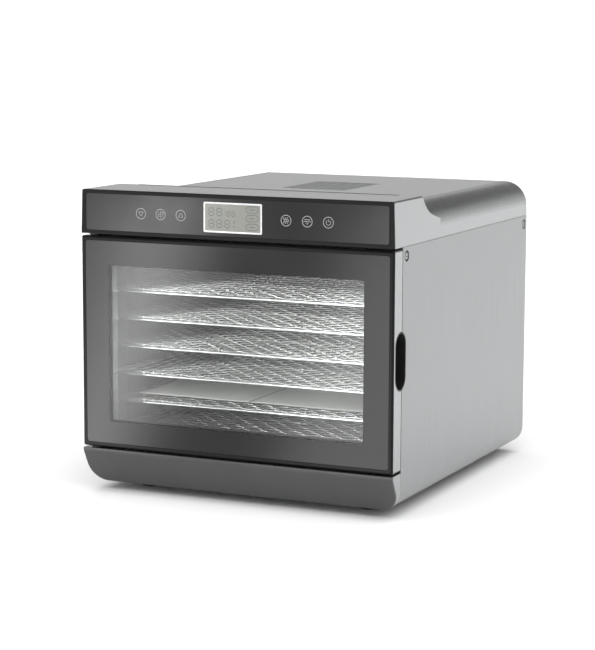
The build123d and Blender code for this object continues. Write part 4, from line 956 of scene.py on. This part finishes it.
class OBJECT_OT_dehydrator_display(bpy.types.Operator):
    """Draws the display's segments on its cell"""

    bl_idname = "object.dehydrator_display"
    bl_label = "Display segments"

    def execute(self, context):
        stroke = context.scene.dehydrator_print.segment
        ink = finished(moulded_plastic, "display_segment_grey", "lcd_ink", 0.35, 1.0, 0.02)
        low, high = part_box("display_frame")
        border, film_corner = Vector((1.6 * MM, 0, 1.6 * MM)), 0.8 * MM
        low, high = low + border, high - border
        bm = bmesh.new()
        add_block(bm, (high.x - low.x, 1.0 * MM, high.z - low.z), (0, 0, 0))
        upright = [edge for edge in bm.edges if abs(edge.verts[0].co.y - edge.verts[1].co.y) > MM / 2]
        bmesh.ops.bevel(
            bm, geom=upright, offset=film_corner, affect="EDGES", segments=4, profile=0.5, material=-1
        )
        middle = (low + high) / 2
        bmesh.ops.translate(bm, vec=(middle.x, low.y - PRINT_LIFT + 0.5 * MM, middle.z), verts=bm.verts)
        cell = finish_for("display_glass")
        film = place_mesh("display_polariser", bm, cell, "cabinet")
        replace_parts(film, "display_lens")
        low = low - Vector((0, PRINT_LIFT, 0))
        bm = bmesh.new()
        left, bottom = low.x + 4.4 * MM, low.z + 3.6 * MM
        step, rise = 8.8 * MM, 11.6 * MM
        large, small = (5.4 * MM, 7.4 * MM, stroke), (3.4 * MM, 4.8 * MM, stroke * 0.8)
        for column in range(3):
            digit(bm, left + column * step, bottom, *large)
        for column in range(2):
            digit(bm, left + column * step, bottom + rise, *large)
            digit(bm, left + (19.6 + column * 5.4) * MM, bottom + rise, *small)
        for row in range(3):
            level = low.z + (5.2 + row * 8.6) * MM
            key_outline(bm, high.x - 9.0 * MM, level, 13.4 * MM, 6.4 * MM, stroke * 0.7)
            flat_bar(bm, (high.x - 12.0 * MM, level), (high.x - 6.0 * MM, level), stroke * 0.9)
        for dot in range(2):
            level = bottom + (13.4 + dot * 3.0) * MM
            flat_bar(bm, (left + 17.2 * MM, level), (left + 18.0 * MM, level), stroke * 0.9)
            centre = (left + 27.8 * MM, bottom + (1.2 + dot * 4.6) * MM)
            flat_arc(bm, centre, 0.9 * MM, stroke * 0.6, 0, 360, 10)
        thicken(bm, PRINT_LIFT / 2)
        bmesh.ops.translate(bm, vec=(0, low.y - PRINT_LIFT / 2, 0), verts=bm.verts)
        place_mesh("display_segments", bm, ink, "cabinet")
        return {"FINISHED"}


class OBJECT_OT_dehydrator_stage(bpy.types.Operator):
    """Sets up the floor, the surround, the lights and the camera"""

    bl_idname = "object.dehydrator_stage"
    bl_label = "Stage"

    def execute(self, context):
        stage = context.scene.dehydrator_stage
        context.scene.view_settings.view_transform = "Standard"
        self.floor(stage)
        self.surround(context.scene, stage)
        self.reflection_card()
        self.daylight(stage)
        self.front_light(stage)
        self.camera(context.scene)
        return {"FINISHED"}

    def floor(self, stage):
        """A wide pale floor with a faint unevenness."""
        material, tree = new_material("pale_studio_floor")
        cloud = add_node(
            tree, "ShaderNodeTexNoise", {"Vector": pattern_place(tree, (1.5, 1.5, 1.5)), "Scale": 1.0}
        )
        matt = {"Specular IOR Level": 0.1}
        show_finish(tree, tuple(stage.floor), 0.99, cloud.outputs["Fac"], 0.9, matt, spread=(0, 1))
        bm = bmesh.new()
        bmesh.ops.create_grid(bm, x_segments=1, y_segments=1, size=20.0)
        floor = bpy.data.objects.new("floor", mesh_of(bm, "floor"))
        floor.data.materials.append(material)
        bpy.context.scene.collection.objects.link(floor)

    def surround(self, scene, stage):
        """White all round at eye level and overhead, with a darker ring of ceiling between."""
        world = bpy.data.worlds.new("studio_surround")
        world.use_nodes = True
        tree = world.node_tree
        tree.nodes.clear()
        direction = add_node(tree, "ShaderNodeTexCoord")
        split = add_node(tree, "ShaderNodeSeparateXYZ", {"Vector": direction.outputs["Generated"]})
        ramp = add_node(tree, "ShaderNodeValToRGB", {"Fac": split.outputs["Z"]})
        stops = ((0.0, 1.0), (0.1, 0.8), (0.24, 0.46), (0.34, 0.04), (0.46, 0.08), (0.62, 0.5), (0.85, 1.0))
        self.set_stops(ramp, stops)
        seen = add_node(tree, "ShaderNodeBackground", {"Color": (1, 1, 1, 1), "Strength": 1.0})
        lit = add_node(tree, "ShaderNodeBackground", {"Color": ramp.outputs["Color"], "Strength": stage.sky})
        path = add_node(tree, "ShaderNodeLightPath")
        mix = add_node(
            tree,
            "ShaderNodeMixShader",
            {0: path.outputs["Is Camera Ray"], 1: lit.outputs[0], 2: seen.outputs[0]},
        )
        add_node(tree, "ShaderNodeOutputWorld", {"Surface": mix.outputs[0]})
        scene.world = world

    def set_stops(self, ramp, stops, brightest=1.0):
        """Sets a ramp's greys from pairs of place and level; the brightest level becomes white."""
        elements = ramp.color_ramp.elements
        for index, (place, level) in enumerate(stops):
            stop = elements[index] if index < 2 else elements.new(place)
            stop.position = place
            stop.color = (*[level / brightest] * 3, 1)

    def reflection_card(self):
        """Bright strips on the floor at the front left, which only gloss surfaces mirror."""
        apex = Vector((0.761, 1.638, 0.0015))
        near, far = 1.96, 5.2
        edge_slants, pattern_slants = (0.30, 0.64), (0.34, 0.60)
        material, tree = new_material("reflection_card")
        coordinates = add_node(tree, "ShaderNodeTexCoord")
        split = add_node(tree, "ShaderNodeSeparateXYZ", {"Vector": coordinates.outputs["Object"]})
        slope = add_node(
            tree, "ShaderNodeMath", {0: split.outputs["X"], 1: split.outputs["Y"]}, operation="DIVIDE"
        )
        limits = {"From Min": pattern_slants[0], "From Max": pattern_slants[1]}
        place = add_node(tree, "ShaderNodeMapRange", {"Value": slope.outputs[0], **limits})
        ramp = add_node(tree, "ShaderNodeValToRGB", {"Fac": place.outputs["Result"]})
        ramp.color_ramp.interpolation = "B_SPLINE"
        brightest = 5.9
        stops = ((0.0, 2.4), (0.13, 2.4), (0.24, 0.05), (0.40, 0.0), (0.5, 1.0))
        stops += ((0.62, brightest), (0.72, 3.3), (0.86, 0.4), (1.0, 0.0))
        self.set_stops(ramp, stops, brightest)
        glow = add_node(tree, "ShaderNodeEmission", {"Color": ramp.outputs["Color"], "Strength": brightest})
        clear = add_node(tree, "ShaderNodeBsdfTransparent")
        both = add_node(tree, "ShaderNodeAddShader", {0: glow.outputs[0], 1: clear.outputs[0]})
        show(tree, both)
        bm = bmesh.new()
        corners = [bm.verts.new((slant * near, near, 0)) for slant in edge_slants]
        edge = bm.edges.new(corners)
        grown = bmesh.ops.extrude_edge_only(bm, edges=[edge])["geom"]
        bmesh.ops.scale(bm, vec=(far / near, far / near, 1), verts=verts_of(grown))
        card = bpy.data.objects.new("reflection_card", mesh_of(bm, "reflection_card"))
        card.data.materials.append(material)
        card.location = apex
        card.rotation_euler = (0, 0, math.pi)
        for ray in ("camera", "diffuse", "shadow", "transmission"):
            setattr(card, f"visible_{ray}", False)
        bpy.context.scene.collection.objects.link(card)

    def daylight(self, stage):
        """A very broad soft light from above that keeps the floor white."""
        light = bpy.data.lights.new("overhead_light", "SUN")
        light.energy = stage.overhead
        light.angle = math.radians(100)
        lamp = bpy.data.objects.new("overhead_light", light)
        lamp.rotation_euler = (math.radians(24), math.radians(12), 0)
        lamp.visible_glossy = False
        bpy.context.scene.collection.objects.link(lamp)

    def front_light(self, stage):
        """A smaller light at the front left for the trays and sheets alone, made after them."""
        light = bpy.data.lights.new("front_light", "AREA")
        light.size = 0.6
        light.energy = stage.front
        lamp = bpy.data.objects.new("front_light", light)
        place, aim = Vector((-0.75, -2.5, 1.0)), Vector((0, 0, 0.15))
        lamp.location = place
        lamp.rotation_euler = (aim - place).to_track_quat("-Z", "Y").to_euler()
        lamp.visible_camera = False
        bpy.context.scene.collection.objects.link(lamp)
        lit = bpy.data.collections.new("front_light_receivers")
        for piece in bpy.context.scene.objects:
            if piece.name.startswith(("woven_tray", "drying_sheet")):
                lit.objects.link(piece)
        lamp.light_linking.receiver_collection = lit

    def camera(self, scene):
        """Stands the camera at the front right, a little above the head, with a long lens."""
        camera = bpy.data.cameras.new("camera")
        camera.sensor_width = 36.0
        camera.lens = 117.05
        camera.clip_end = 60.0
        place = (0.9244, -2.0883, 0.4908)
        yaw, pitch, roll = (math.radians(angle) for angle in (24.61, 8.341, 0.215))
        ahead = Vector(
            (-math.sin(yaw) * math.cos(pitch), math.cos(yaw) * math.cos(pitch), -math.sin(pitch))
        )
        right = Vector((math.cos(yaw), math.sin(yaw), 0))
        up = right.cross(ahead)
        turned_right = math.cos(roll) * right + math.sin(roll) * up
        turned_up = math.cos(roll) * up - math.sin(roll) * right
        stand = bpy.data.objects.new("camera", camera)
        turn = Matrix((turned_right, turned_up, -ahead)).transposed()
        stand.matrix_world = Matrix.Translation(place) @ turn.to_4x4()
        scene.collection.objects.link(stand)
        scene.camera = stand


class VIEW3D_PT_dehydrator(bpy.types.Panel):
    """Lists the dehydrator's operators and sizes"""

    bl_label = "Dehydrator"
    bl_idname = "VIEW3D_PT_dehydrator"
    bl_space_type = "VIEW_3D"
    bl_region_type = "UI"
    bl_category = "Dehydrator"

    def draw(self, context):
        for operator in OPERATORS:
            self.layout.operator(operator.bl_idname)
        for group in GROUPS:
            settings = getattr(context.scene, group)
            for name in settings.bl_rna.properties.keys():
                if name not in ("rna_type", "name"):
                    self.layout.prop(settings, name)


GROUPS = {
    "dehydrator_weave": DehydratorWeave,
    "dehydrator_print": DehydratorPrint,
    "dehydrator_fittings": DehydratorFittings,
    "dehydrator_colours": DehydratorColours,
    "dehydrator_stage": DehydratorStage,
}
OPERATORS = (
    OBJECT_OT_dehydrator_finishes,
    OBJECT_OT_dehydrator_trays,
    OBJECT_OT_dehydrator_sheets,
    OBJECT_OT_dehydrator_painted_crease_shade,
    OBJECT_OT_dehydrator_screws,
    OBJECT_OT_dehydrator_border,
    OBJECT_OT_dehydrator_keys,
    OBJECT_OT_dehydrator_display,
    OBJECT_OT_dehydrator_stage,
)
CLASSES = (*GROUPS.values(), *OPERATORS, VIEW3D_PT_dehydrator)


def register():
    for cls in CLASSES:
        bpy.utils.register_class(cls)
    for name, group in GROUPS.items():
        setattr(bpy.types.Scene, name, PointerProperty(type=group))


def unregister():
    for name in GROUPS:
        delattr(bpy.types.Scene, name)
    for cls in reversed(CLASSES):
        bpy.utils.unregister_class(cls)


def main():
    register()
    for operator in OPERATORS:
        group, name = operator.bl_idname.split(".")
        getattr(getattr(bpy.ops, group), name)()
    bpy.context.view_layer.update()


if __name__ == "__main__":
    main()
